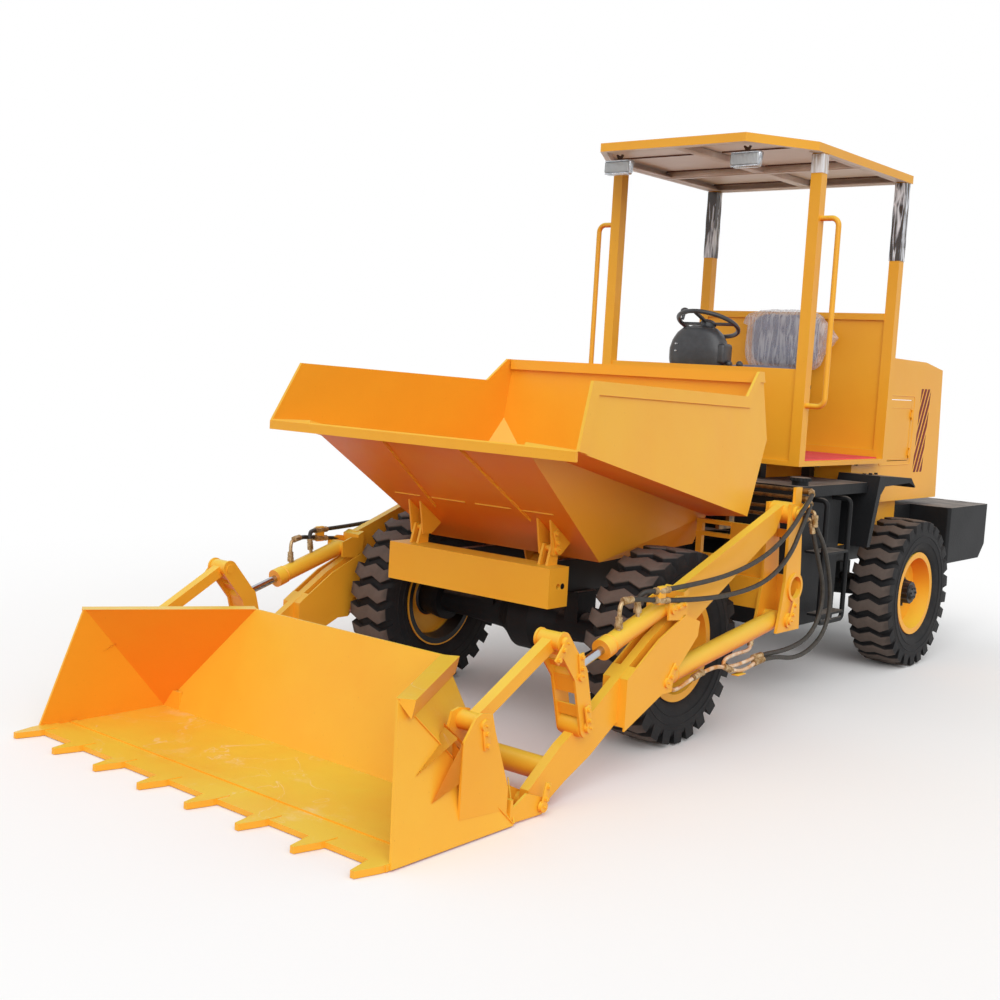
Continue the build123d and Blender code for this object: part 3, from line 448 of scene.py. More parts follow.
# Blown polyethylene packing film: clear, creased lengthwise, white where the creases catch the light
def packing_film(name, least, most, spacing, deep):
    material, tree, place = start(name)
    stretched = add(tree, "ShaderNodeMapping", {"Vector": place, "Scale": (1, 1, 0.12)})
    creases = add(tree, NOISE, {"Vector": stretched, "Scale": every(spacing), "Detail": 3.0,
                                "Distortion": 0.5})
    off = add(tree, MATH, {0: creases, 1: 0.5}, operation="SUBTRACT")
    ridge = add(tree, MATH, {0: off}, operation="ABSOLUTE")
    patches = add(tree, NOISE, {"Vector": place, "Scale": every(143), "Detail": 3.0})
    reach = add(tree, RANGE, {"Value": patches, "From Min": 0.35, "From Max": 0.65,
                              "To Min": 0.02, "To Max": 0.12})
    caught = add(tree, MATH, {0: ridge, 1: reach}, operation="DIVIDE")
    white = add(tree, RANGE, {"Value": caught, "From Min": 1.0, "From Max": 0.1,
                              "To Min": least, "To Max": most})
    tone = add(tree, MIX, {FACTOR: caught, FIRST: srgb("F2F3F8"), SECOND: srgb(deep)}, **COLOUR)
    surface = finish(tone, creases, 0.006, tree, Roughness=0.16, IOR=1.5)
    tree.links.new(white.outputs[0], surface.inputs["Alpha"])
    return material


# Ribbed vinyl mat, embossed: soft red, with ribs 12 mm apart across the machine
def vinyl_mat(colours):
    material, tree, place = start("vinyl_mat")
    ribs = add(tree, WAVE, {"Vector": place, "Scale": fluting(12)}, bands_direction="X")
    worn = add(tree, NOISE, {"Vector": place, "Scale": every(83.3), "Detail": 4.0})
    tone = add(tree, MIX, {FACTOR: worn, FIRST: srgb(colours.mat), SECOND: srgb("DC464E")}, **COLOUR)
    finish(tone, ribs.outputs["Fac"], 0.001, tree, Roughness=0.6)
    return material


# Clear moulded polycarbonate lens, fluted every 8 mm
def fluted_lens():
    material, tree, place = start("clear_lens")
    waves = add(tree, WAVE, {"Vector": place, "Scale": fluting(8)}, bands_direction="X")
    flutes = waves.outputs["Fac"]
    tone = add(tree, MIX, {FACTOR: flutes, FIRST: srgb("F1F4F6"), SECOND: srgb("D3DADF")}, **COLOUR)
    finish(tone, flutes, 0.002, tree, Roughness=0.1, IOR=1.5, Transmission_Weight=0.45)
    return material


# ------------------------------------------------------------------ mesh helpers
def piece(name, bm, material, body, sharp=35):
    """Turns a bmesh into a smooth shaded piece that rides on a body."""
    mesh = bpy.data.meshes.new(name)
    bm.to_mesh(mesh)
    bm.free()
    mesh.materials.append(material)
    mesh.polygons.foreach_set("use_smooth", [True] * len(mesh.polygons))
    mesh.set_sharp_from_angle(angle=math.radians(sharp))
    obj = bpy.data.objects.new(name, mesh)
    bpy.context.scene.collection.objects.link(obj)
    if body:
        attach(obj, body)
    return obj


def turned(axis):
    """Rotation that points +Z along an axis."""
    return Vector(axis).to_track_quat("Z", "Y").to_matrix().to_4x4()


def drum(bm, start, end, radius, end_radius=None, sides=20):
    """Round bar, cone or, with six sides, a bolt head, from start to end."""
    a, b = Vector(start), Vector(end)
    bmesh.ops.create_cone(bm, cap_ends=True, segments=sides, radius1=radius, radius2=end_radius or radius,
                          depth=(b - a).length, matrix=Matrix.Translation((a + b) / 2) @ turned(b - a))


def rounds(bm, foot, out, steps):
    """Rounds along one line from foot. Each step: its start and end along it, its two radii, its sides."""
    for start, end, radius, end_radius, sides in steps:
        drum(bm, foot + out * start, foot + out * end, radius, end_radius, sides)


def slab(bm, low, high, bevel=0.0, segments=2, turn=None):
    """Box between two corners, its edges rounded, turned about its middle."""
    low, high = Vector(low), Vector(high)
    size = Matrix.Diagonal((*(abs(length) for length in high - low), 1.0))
    place = Matrix.Translation((low + high) / 2) @ (turn or Matrix.Identity(4)) @ size
    verts = bmesh.ops.create_cube(bm, size=1.0, matrix=place)["verts"]
    if bevel:
        edges = {e for v in verts for e in v.link_edges}
        bmesh.ops.bevel(bm, geom=list(edges), offset=bevel, segments=segments, profile=0.5,
                        affect="EDGES", material=-1)
    return verts


def ring_of(bm, profile, centre, axis, steps):
    """Closed profile of (along the axis, radius) turned once round the axis through centre."""
    side = Z if abs(axis.z) < 0.9 else Y
    loop = [bm.verts.new(centre + axis * along + side * radius) for along, radius in profile]
    edges = [bm.edges.new((loop[i], loop[(i + 1) % len(loop)])) for i in range(len(loop))]
    bmesh.ops.spin(bm, geom=loop + edges, cent=centre, axis=axis, angle=2 * math.pi,
                   steps=steps, use_merge=True, use_duplicate=False)


def plate(bm, corners, thick):
    """Flat plate cut to its corners, thickened to one side."""
    face = bm.faces.new([bm.verts.new(corner) for corner in corners])
    bmesh.ops.solidify(bm, geom=[face], thickness=thick)


def clipped(bm, place, out):
    """Cuts off all that lies beyond a plane through a place, whose free side is out."""
    bmesh.ops.bisect_plane(bm, geom=list(bm.verts) + list(bm.edges) + list(bm.faces),
                           plane_co=place, plane_no=out, clear_outer=True)


def rounding(a, b, power):
    """Share that brings a point of a square in to the rounded square of a power, 2 for a circle."""
    return max(abs(a), abs(b)) / max((abs(a) ** power + abs(b) ** power) ** (1 / power), 1e-6)


def rounded_block(bm, cuts, shape):
    """Finely divided cube; shape gives each point's place from its place on the cube, -1 to 1."""
    made = bmesh.ops.create_cube(bm, size=2.0)["verts"]
    edges = list({e for v in made for e in v.link_edges})
    bmesh.ops.subdivide_edges(bm, edges=edges, cuts=cuts, use_grid_fill=True)
    for v in bm.verts:
        v.co = shape(v.co)


def smooth_tube(name, points, radius, material, closed=False):
    """Bent pipe or hose along a smooth line through given points, as a mesh object."""
    curve = bpy.data.curves.new(name, "CURVE")
    curve.dimensions = "3D"
    curve.bevel_depth = radius
    curve.bevel_resolution = 3
    curve.use_fill_caps = True
    spline = curve.splines.new("NURBS")
    spline.points.add(len(points) - 1)
    for point, place in zip(spline.points, points):
        point.co = (*place, 1.0)
    spline.order_u = 3
    spline.use_endpoint_u = not closed
    spline.use_cyclic_u = closed
    spline.resolution_u = 8
    drawn = bpy.data.objects.new(name + "_line", curve)
    mesh = bpy.data.meshes.new_from_object(drawn)
    bpy.data.objects.remove(drawn)
    mesh.name = name
    mesh.materials.append(material)
    mesh.polygons.foreach_set("use_smooth", [True] * len(mesh.polygons))
    obj = bpy.data.objects.new(name, mesh)
    bpy.context.scene.collection.objects.link(obj)
    return obj


def bead(bm, start, end, radius):
    """Weld bead: a row of overlapping lumps from start to end."""
    start, end = Vector(start), Vector(end)
    count = max(2, round((end - start).length / (radius * 4)))
    for i in range(count):
        a, b = start.lerp(end, i / count), start.lerp(end, (i + 1.25) / count)
        drum(bm, a, b, radius, radius * 0.8, 6)


def puffed(obj, cap, voxel=0.009, pressure=4.0, frames=20):
    """Swells a pad with Blender's cloth under pressure, each point kept within cap of its first place."""
    scene = bpy.context.scene
    voxels = obj.modifiers.new("voxels", "REMESH")
    voxels.mode = "VOXEL"
    voxels.voxel_size = voxel
    first = settle(obj)
    cloth = obj.modifiers.new("cloth", "CLOTH")
    cloth.settings.use_pressure = True
    cloth.settings.uniform_pressure_force = pressure
    cloth.settings.effector_weights.gravity = 0.0
    for step in range(1, frames + 1):
        scene.frame_set(step)
    settle(obj)
    for v, was in zip(obj.data.vertices, first):
        moved = v.co - was
        v.co = was + moved * min(1.0, cap / max(moved.length, 1e-6))
    scene.frame_set(1)
    return obj


def settle(obj):
    """Applies an object's modifiers to its mesh; gives its points."""
    bpy.context.view_layer.update()
    done = bpy.data.meshes.new_from_object(obj.evaluated_get(bpy.context.evaluated_depsgraph_get()))
    obj.modifiers.clear()
    obj.data = done
    done.polygons.foreach_set("use_smooth", [True] * len(done.polygons))
    return [v.co.copy() for v in done.vertices]


def dress(node, material):
    """Gives a CAD node a material."""
    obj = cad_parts[node]
    obj.data.materials.clear()
    obj.data.materials.append(material)


# ------------------------------------------------------------------ operators
class Dressing:
    """What the operators share: undo, and the settings of the scene."""
    bl_options = {"REGISTER", "UNDO"}

    @property
    def colours(self):
        return bpy.context.scene.dumper_colours

    @property
    def sizes(self):
        return bpy.context.scene.dumper_sizes


class DUMPER_OT_paint(Dressing, bpy.types.Operator):
    """Gives each piece of the frame its real finish"""
    bl_idname = "dumper.paint"
    bl_label = "Paint the frame"

    ENAMELLED = ("skip", "lift_arms", "bell_cranks", "bucket_links", "towers", "tilt_barrels", "lift_barrels",
                 "tip_barrel", "hood", "hood_door", "platform", "canopy_posts", "handrails")
    BLACK = ("front_axle", "rear_axle", "counterweight", "fenders", "side_boxes", "steps", "engine_block")
    MOULDED = ("console", "steering_wheel", "levers", "lamps", "seat")
    TIP_EYE = (0.020, 0.700)                 # tipping rod's eye: y and z from the front axle
    TIP_EYE_RADIUS = 0.0335
    HUB_RADIUS, RIM_EDGE_RADIUS = 0.1, 0.234

    def execute(self, context):
        colours = self.colours
        enamel, black, rubbed = machine_enamel(colours), chassis_black(colours), rubbed_enamel(colours)
        # injection moulded ABS: dark grey, even, with a soft sheen
        moulded = plain("moulded_abs", "34363A", "3F4145", 50, 0.36)
        finishes = {"bucket": rubbed, "bucket_teeth": rubbed}
        for nodes, material in ((self.ENAMELLED, enamel), (self.BLACK, black), (self.MOULDED, moulded)):
            finishes.update({node: material for node in nodes})
        finishes.update({
            "front_chassis": two_tone("front_chassis_enamel", colours, orange_front),
            "rear_chassis": two_tone("rear_chassis_enamel", colours, orange_inset),
            "roof_frame": roof_finish(colours), "floor_mat": vinyl_mat(colours),
            "tip_rod": chromed_rod(colours, "tip_rod_chrome", at(0, *self.TIP_EYE), self.TIP_EYE_RADIUS),
            # drawn steel pipe under old oil: brown, half bright
            "pipes": plain("oiled_steel_pipe", "4A3A2A", "8A6A3E", 30, 0.4, Metallic=0.7)})
        for name, (_, eye, _, _, eye_radius) in CYLINDERS.items():
            place = at(*PINS[eye][1:4])
            finishes[name + "_rods"] = chromed_rod(colours, name + "_rod_chrome", place, eye_radius)
        for wheel in WHEELS:
            finishes["rim_" + wheel] = rim_enamel(colours, wheel, self.HUB_RADIUS, self.RIM_EDGE_RADIUS)
        for node, material in finishes.items():
            dress(node, material)
        return {"FINISHED"}


class DUMPER_OT_tyres(Dressing, bpy.types.Operator):
    """Moulds the four tyres with their zigzag lugs"""
    bl_idname = "dumper.tyres"
    bl_label = "Tyres"

    # half of the casing's section: across, radius
    CASING = ((0.088, 0.217), (0.0905, 0.246), (0.103, 0.258), (0.112, 0.276), (0.119, 0.300),
              (0.1215, 0.330), (0.1205, 0.356), (0.116, 0.376), (0.107, 0.391), (0.090, 0.400),
              (0.050, 0.405))
    # one lug from side to side: across, shift along the tread, top radius
    LUG = ((-0.1215, 0.010, 0.424), (-0.066, -0.014, 0.429), (0.0, 0.012, 0.430), (0.066, -0.014, 0.429),
           (0.1215, 0.010, 0.424))
    LUG_TOP = 0.42                   # a lug's top lies beyond this radius
    SHOULDER = 0.1                   # a lug's ends lie further across than this
    END_WIDTH = 0.92                 # width of a lug's ends, as a share of its middle's
    ROOTS = (0.012, 0.036)           # depth of a lug's foot in the casing, at its middle and at its ends
    FLANK = 0.004                    # a lug's foot is this much wider on each flank
    DRAWN_IN = 0.985                 # a foot's length, as a share of the top's
    LUG_EDGE = 0.004                 # rounding of the top's edges
    SHARP = 0.6                      # edges that turn by more than this, in radians, are rounded
    # moulded rings on each sidewall: across, radius; and half of a ring's section
    WALL_RIBS = ((0.1195, 0.300), (0.122, 0.338))
    RIB_HALF = (0.0025, 0.0035)

    def execute(self, context):
        sizes = self.sizes
        low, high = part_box("tyre_fl")
        for wheel in WHEELS:
            centre = middle("rim_" + wheel)
            rubber = tyre_rubber(self.colours, wheel, (high.z - low.z) / 2, sizes.lug_depth)
            bm = bmesh.new()
            profile = list(self.CASING) + [(-x, r) for x, r in reversed(self.CASING)]
            ring_of(bm, profile, centre, X, 104)
            self.lugs(bm, centre, sizes)
            across, along = self.RIB_HALF
            for x, r in self.WALL_RIBS:
                for middle_x in (-x, x):
                    ring_of(bm, [(middle_x + across, r), (middle_x, r + along), (middle_x - across, r),
                                 (middle_x, r - along)], centre, X, 72)
            bmesh.ops.recalc_face_normals(bm, faces=bm.faces)
            tyre = piece("tyre_" + wheel + "_moulded", bm, rubber, "wheel_" + wheel)
            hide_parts("tyre_" + wheel)
        return {"FINISHED"}

    def lugs(self, bm, centre, sizes):
        """One lug, wrapped on the tread, and its turned copies."""
        first = set(bm.verts)
        last = len(self.LUG) - 1
        strip = bmesh.ops.create_grid(bm, x_segments=last, y_segments=1, size=1.0)["verts"]
        for v in strip:
            x, shift, top = self.LUG[round((v.co.x + 1) / 2 * last)]
            half = sizes.lug_half * (self.END_WIDTH if abs(x) > self.SHOULDER else 1.0)
            v.co = (x, shift + v.co.y * half, top)
        faces = list({f for v in strip for f in v.link_faces})
        grown = bmesh.ops.extrude_face_region(bm, geom=faces)["geom"]
        for v in [g for g in grown if isinstance(g, bmesh.types.BMVert)]:
            v.co.z -= sizes.lug_depth + self.ROOTS[abs(v.co.x) >= self.SHOULDER]
            v.co.y += math.copysign(self.FLANK, v.co.y - self.shift_at(v.co.x))
            v.co.x *= self.DRAWN_IN
        made = [v for v in bm.verts if v not in first]
        tops = [e for e in {e for v in made for e in v.link_edges}
                if all(v.co.z > self.LUG_TOP for v in e.verts) and len(e.link_faces) == 2
                and e.calc_face_angle(0) > self.SHARP]
        bmesh.ops.bevel(bm, geom=tops, offset=self.LUG_EDGE, segments=2, profile=0.5, affect="EDGES",
                        material=-1)
        made = [v for v in bm.verts if v not in first]
        for v in made:
            angle = v.co.y / v.co.z
            v.co = centre + Vector((v.co.x, v.co.z * math.sin(angle), v.co.z * math.cos(angle)))
        lug = list({f for v in made for f in v.link_faces})
        count = sizes.lug_count
        bmesh.ops.spin(bm, geom=lug, cent=centre, axis=X, angle=2 * math.pi * (count - 1) / count,
                       steps=count - 1, use_duplicate=True)

    def shift_at(self, x):
        """Middle of the lug along the tread, at a place across it."""
        for (x0, s0, _), (x1, s1, _) in zip(self.LUG, self.LUG[1:]):
            if x0 <= x <= x1:
                return s0 + (s1 - s0) * (x - x0) / (x1 - x0)
        return 0.0


class DUMPER_OT_hubs(Dressing, bpy.types.Operator):
    """Adds wheel nuts and the hubs' caps"""
    bl_idname = "dumper.hubs"
    bl_label = "Wheel nuts and hubs"

    # ring round the axle: how many, its radius, and the rounds that each one has, as rounds takes them
    NUTS = (8, 0.079, ((-0.008, 0.014, 0.013, None, 6), (0.012, 0.026, 0.007, None, 8)))
    DRUM_RIBS = (12, 0.061, ((-0.006, 0.072, 0.006, None, 6),))
    CAP_BOLTS = (6, 0.028, ((0.086, 0.094, 0.0065, None, 6),))
    RINGS = {"front": (NUTS, CAP_BOLTS), "rear": (NUTS, DRUM_RIBS, CAP_BOLTS)}

    def execute(self, context):
        # forged steel nuts under black enamel: dull black with greyer patches
        nut_steel = plain("painted_nut_steel", "242427", "3A3A3E", 20, 0.45)
        for wheel in WHEELS:
            centre = middle("rim_" + wheel)
            bm = bmesh.new()
            for count, radius, steps in self.RINGS["rear" if wheel.startswith("r") else "front"]:
                for foot in around(centre, Y, Z, radius, count):
                    rounds(bm, foot, X * math.copysign(1, centre.x), steps)
            piece("wheel_nuts_" + wheel, bm, nut_steel, "wheel_" + wheel)
        return {"FINISHED"}


class DUMPER_OT_hoses(Dressing, bpy.types.Operator):
    """Runs the hydraulic hoses from the towers to the cylinders, with their pipes and fittings"""
    bl_idname = "dumper.hoses"
    bl_label = "Hoses and fittings"

    # hose: near body, far body, places along it on the left side
    HOSES = {
        "tilt_hose_short": ("front_frame", "lift_arms", (
            (1.030, 0.692, 1.108), (1.044, 0.660, 1.094), (1.050, 0.590, 1.050), (1.050, 0.470, 0.950),
            (1.046, 0.300, 0.856), (1.034, 0.050, 0.792), (1.018, -0.230, 0.764), (1.000, -0.480, 0.757))),
        "tilt_hose_long": ("front_frame", "lift_arms", (
            (1.012, 0.700, 1.070), (1.028, 0.690, 1.058), (1.040, 0.640, 1.020), (1.046, 0.581, 0.960),
            (1.050, 0.488, 0.838), (1.048, 0.318, 0.742), (1.036, 0.104, 0.700), (1.016, -0.223, 0.694),
            (1.000, -0.480, 0.716))),
        "tilt_tail_short": ("lift_arms", "tilt_barrels", (
            (1.000, -0.500, 0.757), (0.988, -0.545, 0.758), (0.968, -0.585, 0.752), (0.958, -0.590, 0.722))),
        "tilt_tail_long": ("lift_arms", "tilt_barrels", (
            (1.000, -0.500, 0.718), (0.990, -0.570, 0.726), (0.974, -0.630, 0.732), (0.960, -0.670, 0.728))),
        "lift_hose_outer": ("front_frame", "lift_barrels", (
            (1.044, 0.706, 0.990), (1.048, 0.712, 0.950), (1.050, 0.805, 0.870), (1.050, 0.884, 0.732),
            (1.050, 0.930, 0.583), (1.048, 0.905, 0.450), (1.044, 0.790, 0.370), (1.038, 0.616, 0.340),
            (1.026, 0.430, 0.376), (1.014, 0.300, 0.362))),
        "lift_hose_inner": ("front_frame", "lift_barrels", (
            (1.030, 0.716, 0.955), (1.032, 0.724, 0.920), (1.034, 0.801, 0.783), (1.034, 0.884, 0.632),
            (1.032, 0.851, 0.490), (1.028, 0.743, 0.410), (1.022, 0.549, 0.385), (1.012, 0.400, 0.388),
            (1.000, 0.310, 0.380))),
    }
    # steel pipe: body, places along it on the left side
    PIPES = {
        "tilt_elbow_long": ("tilt_barrels", (
            (0.960, -0.670, 0.728), (0.959, -0.700, 0.725), (0.958, -0.712, 0.705), (0.957, -0.711, 0.650),
            (0.957, -0.709, 0.612))),
        "tilt_elbow_short": ("tilt_barrels", (
            (0.958, -0.590, 0.722), (0.957, -0.590, 0.690), (0.956, -0.580, 0.652))),
        "upper_elbow": ("front_frame", (
            (1.012, 0.700, 1.022), (1.034, 0.700, 1.022), (1.044, 0.702, 1.014), (1.044, 0.706, 0.990))),
        "lower_elbow": ("front_frame", (
            (1.012, 0.700, 0.984), (1.024, 0.702, 0.984), (1.030, 0.710, 0.976), (1.030, 0.716, 0.955))),
        "lift_pipe_foot": ("lift_barrels", (
            (1.000, 0.310, 0.380), (1.000, 0.250, 0.372), (1.000, 0.130, 0.366), (0.998, 0.045, 0.372),
            (0.994, 0.055, 0.404), (0.986, 0.150, 0.412), (0.974, 0.290, 0.408), (0.966, 0.334, 0.418),
            (0.962, 0.336, 0.448))),
        "lift_pipe_head": ("lift_barrels", (
            (1.014, 0.300, 0.362), (1.012, 0.230, 0.342), (1.008, 0.150, 0.340), (1.002, 0.020, 0.382),
            (1.000, -0.070, 0.382), (0.996, -0.210, 0.356), (0.980, -0.300, 0.318), (0.966, -0.322, 0.326),
            (0.958, -0.322, 0.350))),
    }
    # nut and ferrule: body, foot and end of its sleeve on the left side
    FITTINGS = {
        "pipe_end_top": ("front_frame", (1.020, 0.697, 1.111), (1.038, 0.672, 1.100)),
        "pipe_end_second": ("front_frame", (1.002, 0.700, 1.075), (1.030, 0.684, 1.052)),
        "pipe_end_third": ("front_frame", (1.044, 0.705, 1.000), (1.046, 0.710, 0.950)),
        "pipe_end_fourth": ("front_frame", (1.030, 0.715, 0.964), (1.031, 0.724, 0.918)),
        "coupling_short": ("lift_arms", (1.000, -0.490, 0.757), (1.004, -0.440, 0.757)),
        "coupling_long": ("lift_arms", (1.000, -0.490, 0.717), (1.004, -0.440, 0.713)),
        "coupling_short_tail": ("lift_arms", (1.000, -0.490, 0.757), (0.993, -0.530, 0.757)),
        "coupling_long_tail": ("lift_arms", (1.000, -0.490, 0.717), (0.996, -0.535, 0.721)),
        "tee_foot": ("tilt_barrels", (0.957, -0.586, 0.675), (0.958, -0.592, 0.724)),
        "tilt_head_port": ("tilt_barrels", (0.957, -0.710, 0.626), (0.957, -0.712, 0.668)),
        "tilt_head_ferrule": ("tilt_barrels", (0.958, -0.690, 0.727), (0.970, -0.645, 0.732)),
        "lift_foot_ferrule": ("lift_barrels", (1.000, 0.305, 0.380), (1.007, 0.365, 0.386)),
        "lift_head_ferrule": ("lift_barrels", (1.013, 0.292, 0.360), (1.020, 0.360, 0.370)),
        "lift_foot_port": ("lift_barrels", (0.962, 0.337, 0.466), (0.962, 0.336, 0.424)),
        "lift_head_port": ("lift_barrels", (0.958, -0.322, 0.362), (0.958, -0.322, 0.320)),
        "lift_pipe_joint": ("lift_barrels", (0.998, -0.130, 0.374), (0.996, -0.200, 0.358)),
        "lift_pipe_clamp": ("lift_barrels", (1.004, 0.100, 0.354), (1.002, 0.040, 0.378)),
    }
    # plate that holds pipes or couplings: body, two opposite corners on the left side, rounding of its edges
    CLAMPS = {
        "pipe_bracket": ("lift_barrels", (0.992, 0.130, 0.324), (1.026, 0.200, 0.330), 0.002),
        "hose_clamps": ("lift_arms", (0.990, -0.515, 0.700), (1.010, -0.465, 0.775), 0.006),
    }
    # the first and the last place of a hose, and of a tail, which is short
    HELD, TAIL_HELD = (1, -3), (0, -1)
    # fitting: its nut, its sleeve's start, radii and sides, and the rings crimped into it
    NUT = (-0.004, 0.014, 0.0165, None, 6)
    SLEEVE_START, SLEEVE = 0.013, (0.0138, 0.0128, 18)
    CRIMP = (0.0, 0.003, 0.0146, None, 18)
    CRIMP_SHARES = (0.35, 0.6, 0.85)

    def execute(self, context):
        # synthetic rubber cured in a cloth wrap: matt brown black, faintly rough
        rubber = plain("wrapped_hose_rubber", "25231F", "3C352C", 20, 0.55, 0.0008)
        # turned brass with oil and dust on it: brown gold, not quite bright
        brass = plain("oiled_brass_fitting", "8E6A34", "CDB48C", 20, 0.4, Metallic=0.55)
        # bent steel pipe, thinly painted: orange, rubbed pale in places
        steel = plain("painted_steel_pipe", "C58430", "E3D3BC", 50, 0.45, Metallic=0.15)
        for side, word in SIDES:
            for name, (near, far, places) in self.HOSES.items():
                run = on_side(side, places)
                hose = smooth_tube(name + "_" + word, run, self.sizes.hose, rubber)
                first, last = self.TAIL_HELD if near == "lift_arms" else self.HELD
                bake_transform(hose)
            for name, (body, places) in self.PIPES.items():
                metal = brass if "elbow" in name else steel
                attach(smooth_tube(name + "_" + word, on_side(side, places), self.sizes.pipe, metal), body)
            for name, (body, *ends) in self.FITTINGS.items():
                self.fitting(name + "_" + word, body, *on_side(side, ends), brass)
            for name, (body, *corners, edge) in self.CLAMPS.items():
                bm = bmesh.new()
                slab(bm, *on_side(side, corners), edge)
                piece(name + "_" + word, bm, bpy.data.materials["machine_enamel"], body)
        return {"FINISHED"}

    def fitting(self, name, body, foot, end, brass):
        """Hexagon nut at the foot, then a crimped ferrule up to the end."""
        bm = bmesh.new()
        along = (end - foot).normalized()
        rounds(bm, foot, along, (self.NUT, (self.SLEEVE_START, (end - foot).length, *self.SLEEVE)))
        for share in self.CRIMP_SHARES:
            rounds(bm, foot.lerp(end, share), along, (self.CRIMP,))
        piece(name, bm, brass, body)


class DUMPER_OT_fastenings(Dressing, bpy.types.Operator):
    """Adds the pins' keeper plates with their bolts, the cranks' webs, gussets and weld beads"""
    bl_idname = "dumper.fastenings"
    bl_label = "Pins, webs and welds"

    # pin's end and grease nipple; washer and bolt head: each as rounds takes them
    PIN_END = ((-0.004, 0.009, 0.022, 0.020, 28), (0.008, 0.018, 0.004, None, 8))
    BOLT = ((0.0, 0.003, 0.0115, None, 18), (0.0, 0.011, 0.0085, None, 6))
    # keeper plate: half sizes, and how far its middle and its bolts stand from the pin, along and outwards
    KEEPER_HALF = Vector((0.004, 0.016, 0.043))
    KEEPER_MIDDLE = (0.046, 0.004)
    KEEPER_BOLTS = ((0.030, 0.007), (0.074, 0.007))
    # plates of a bell crank's web, up its front edge: y and z of each end; half their width and thickness
    WEB = (((-0.987, 0.325), (-1.000, 0.372)), ((-1.013, 0.418), (-1.036, 0.490)),
           ((-1.054, 0.520), (-1.076, 0.546)), ((-1.097, 0.570), (-1.110, 0.586)))
    WEB_HALF = (0.0475, 0.004)
    # closing strip and two toed gussets before the link's ears, and a plate along the crease: thickness
    # and corners; then the weld beads beside them: ends and radius
    EAR_PLATES = (
        (0.010, ((0.893, -1.628, 0.392), (1.007, -1.658, 0.358),
                 (1.007, -1.652, 0.342), (0.893, -1.622, 0.372))),
        (0.009, ((0.905, -1.635, 0.382), (0.985, -1.655, 0.362), (0.967, -1.835, 0.262))),
        (0.009, ((1.004, -1.655, 0.346), (1.004, -1.585, 0.235), (0.990, -1.775, 0.165))),
        (0.008, ((0.960, -1.655, 0.355), (1.000, -1.640, 0.300),
                 (0.985, -1.640, 0.180), (0.955, -1.640, 0.250))),
    )
    EAR_BEADS = (((0.909, -1.868, 0.517), (1.021, -1.380, 0.018)),
                 ((1.021, -1.372, 0.014), (0.905, -1.276, 0.130)))
    EAR_BEAD = 0.003
    # cylinder's gland: sections of its two rings, from the head's face and beyond the barrel's radius
    GLAND = (((0.0, -0.002), (0.006, -0.004), (0.007, -0.014), (-0.001, -0.015)),
             ((-0.052, -0.006), (-0.045, 0.001), (-0.041, -0.004), (-0.045, -0.008)))
    # skip's front slope: y and z of its top, its run down to the foot, and away from it
    SLOPE_TOP = (-0.90, 1.278)
    SLOPE, SLOPE_OUT = Vector((0, 0.44, -0.322)), Vector((0, -0.59, -0.807))
    RIB_X, RIB_SPREAD, RIB_HALF = 0.217, 0.062, 0.021    # a rib's x at the top, its spread, its half width
    STITCHES = (0.06, 0.20, 0.38, 0.54, 0.72, 0.86)      # starts of a rib's beads, as shares of the slope
    STITCH = 0.09                                        # length of a bead, as such a share
    SEAM, SEAM_RUNS = 0.86, ((0.03, 0.23), (0.30, 0.46))     # level seam: its share down, x of its runs
    # bolt heads under the platform's edge: from its front end, in from its side, and their rounds
    EDGE_BOLTS, EDGE_BOLT_INSET = (0.25, 0.72), 0.02
    EDGE_BOLT = ((-0.008, 0.002, 0.011, None, 6),)

    def execute(self, context):
        enamel = bpy.data.materials["machine_enamel"]
        for side, word in SIDES:
            for name, (body, x, y, z, turn) in PINS.items():
                bm = bmesh.new()
                self.keeper(bm, at(side * x, y, z), X * side, turn)
                piece("keeper_" + name + "_" + word, bm, enamel, body)
            bm = bmesh.new()
            self.crank_web(bm, side)
            piece("crank_web_" + word, bm, enamel, "bell_cranks")
            bm = bmesh.new()
            for thick, corners in self.EAR_PLATES:
                plate(bm, on_side(side, corners), thick)
            for ends in self.EAR_BEADS:
                bead(bm, *on_side(side, ends), self.EAR_BEAD)
            bmesh.ops.recalc_face_normals(bm, faces=bm.faces)
            piece("ear_gussets_" + word, bm, bpy.data.materials["rubbed_enamel"], "bucket")
            for name, (foot, eye, head, radius, _) in CYLINDERS.items():
                bm = bmesh.new()
                near, far = on_side(side, [(LOADER_X, *PINS[pin][2:4]) for pin in (foot, eye)])
                along = (far - near).normalized()
                for section in self.GLAND:
                    profile = [(place, radius + beyond) for place, beyond in section]
                    ring_of(bm, profile, near + along * head, along, 48)
                bmesh.ops.recalc_face_normals(bm, faces=bm.faces)
                piece(name + "_gland_" + word, bm, enamel, name + "_barrels")
        self.skip_welds(enamel)
        self.platform_bolts()
        return {"FINISHED"}

    def keeper(self, bm, centre, out, turn):
        """Pin's end with its grease nipple, and the plate and bolts that keep the pin from turning."""
        rotation = Matrix.Rotation(math.radians(-turn), 4, "X")
        along = rotation @ Z
        rounds(bm, centre, out, self.PIN_END)
        rise, proud = self.KEEPER_MIDDLE
        place = centre + out * proud + along * rise
        slab(bm, place - self.KEEPER_HALF, place + self.KEEPER_HALF, 0.003, 2, rotation)
        for rise, proud in self.KEEPER_BOLTS:
            rounds(bm, centre + along * rise + out * proud, out, self.BOLT)

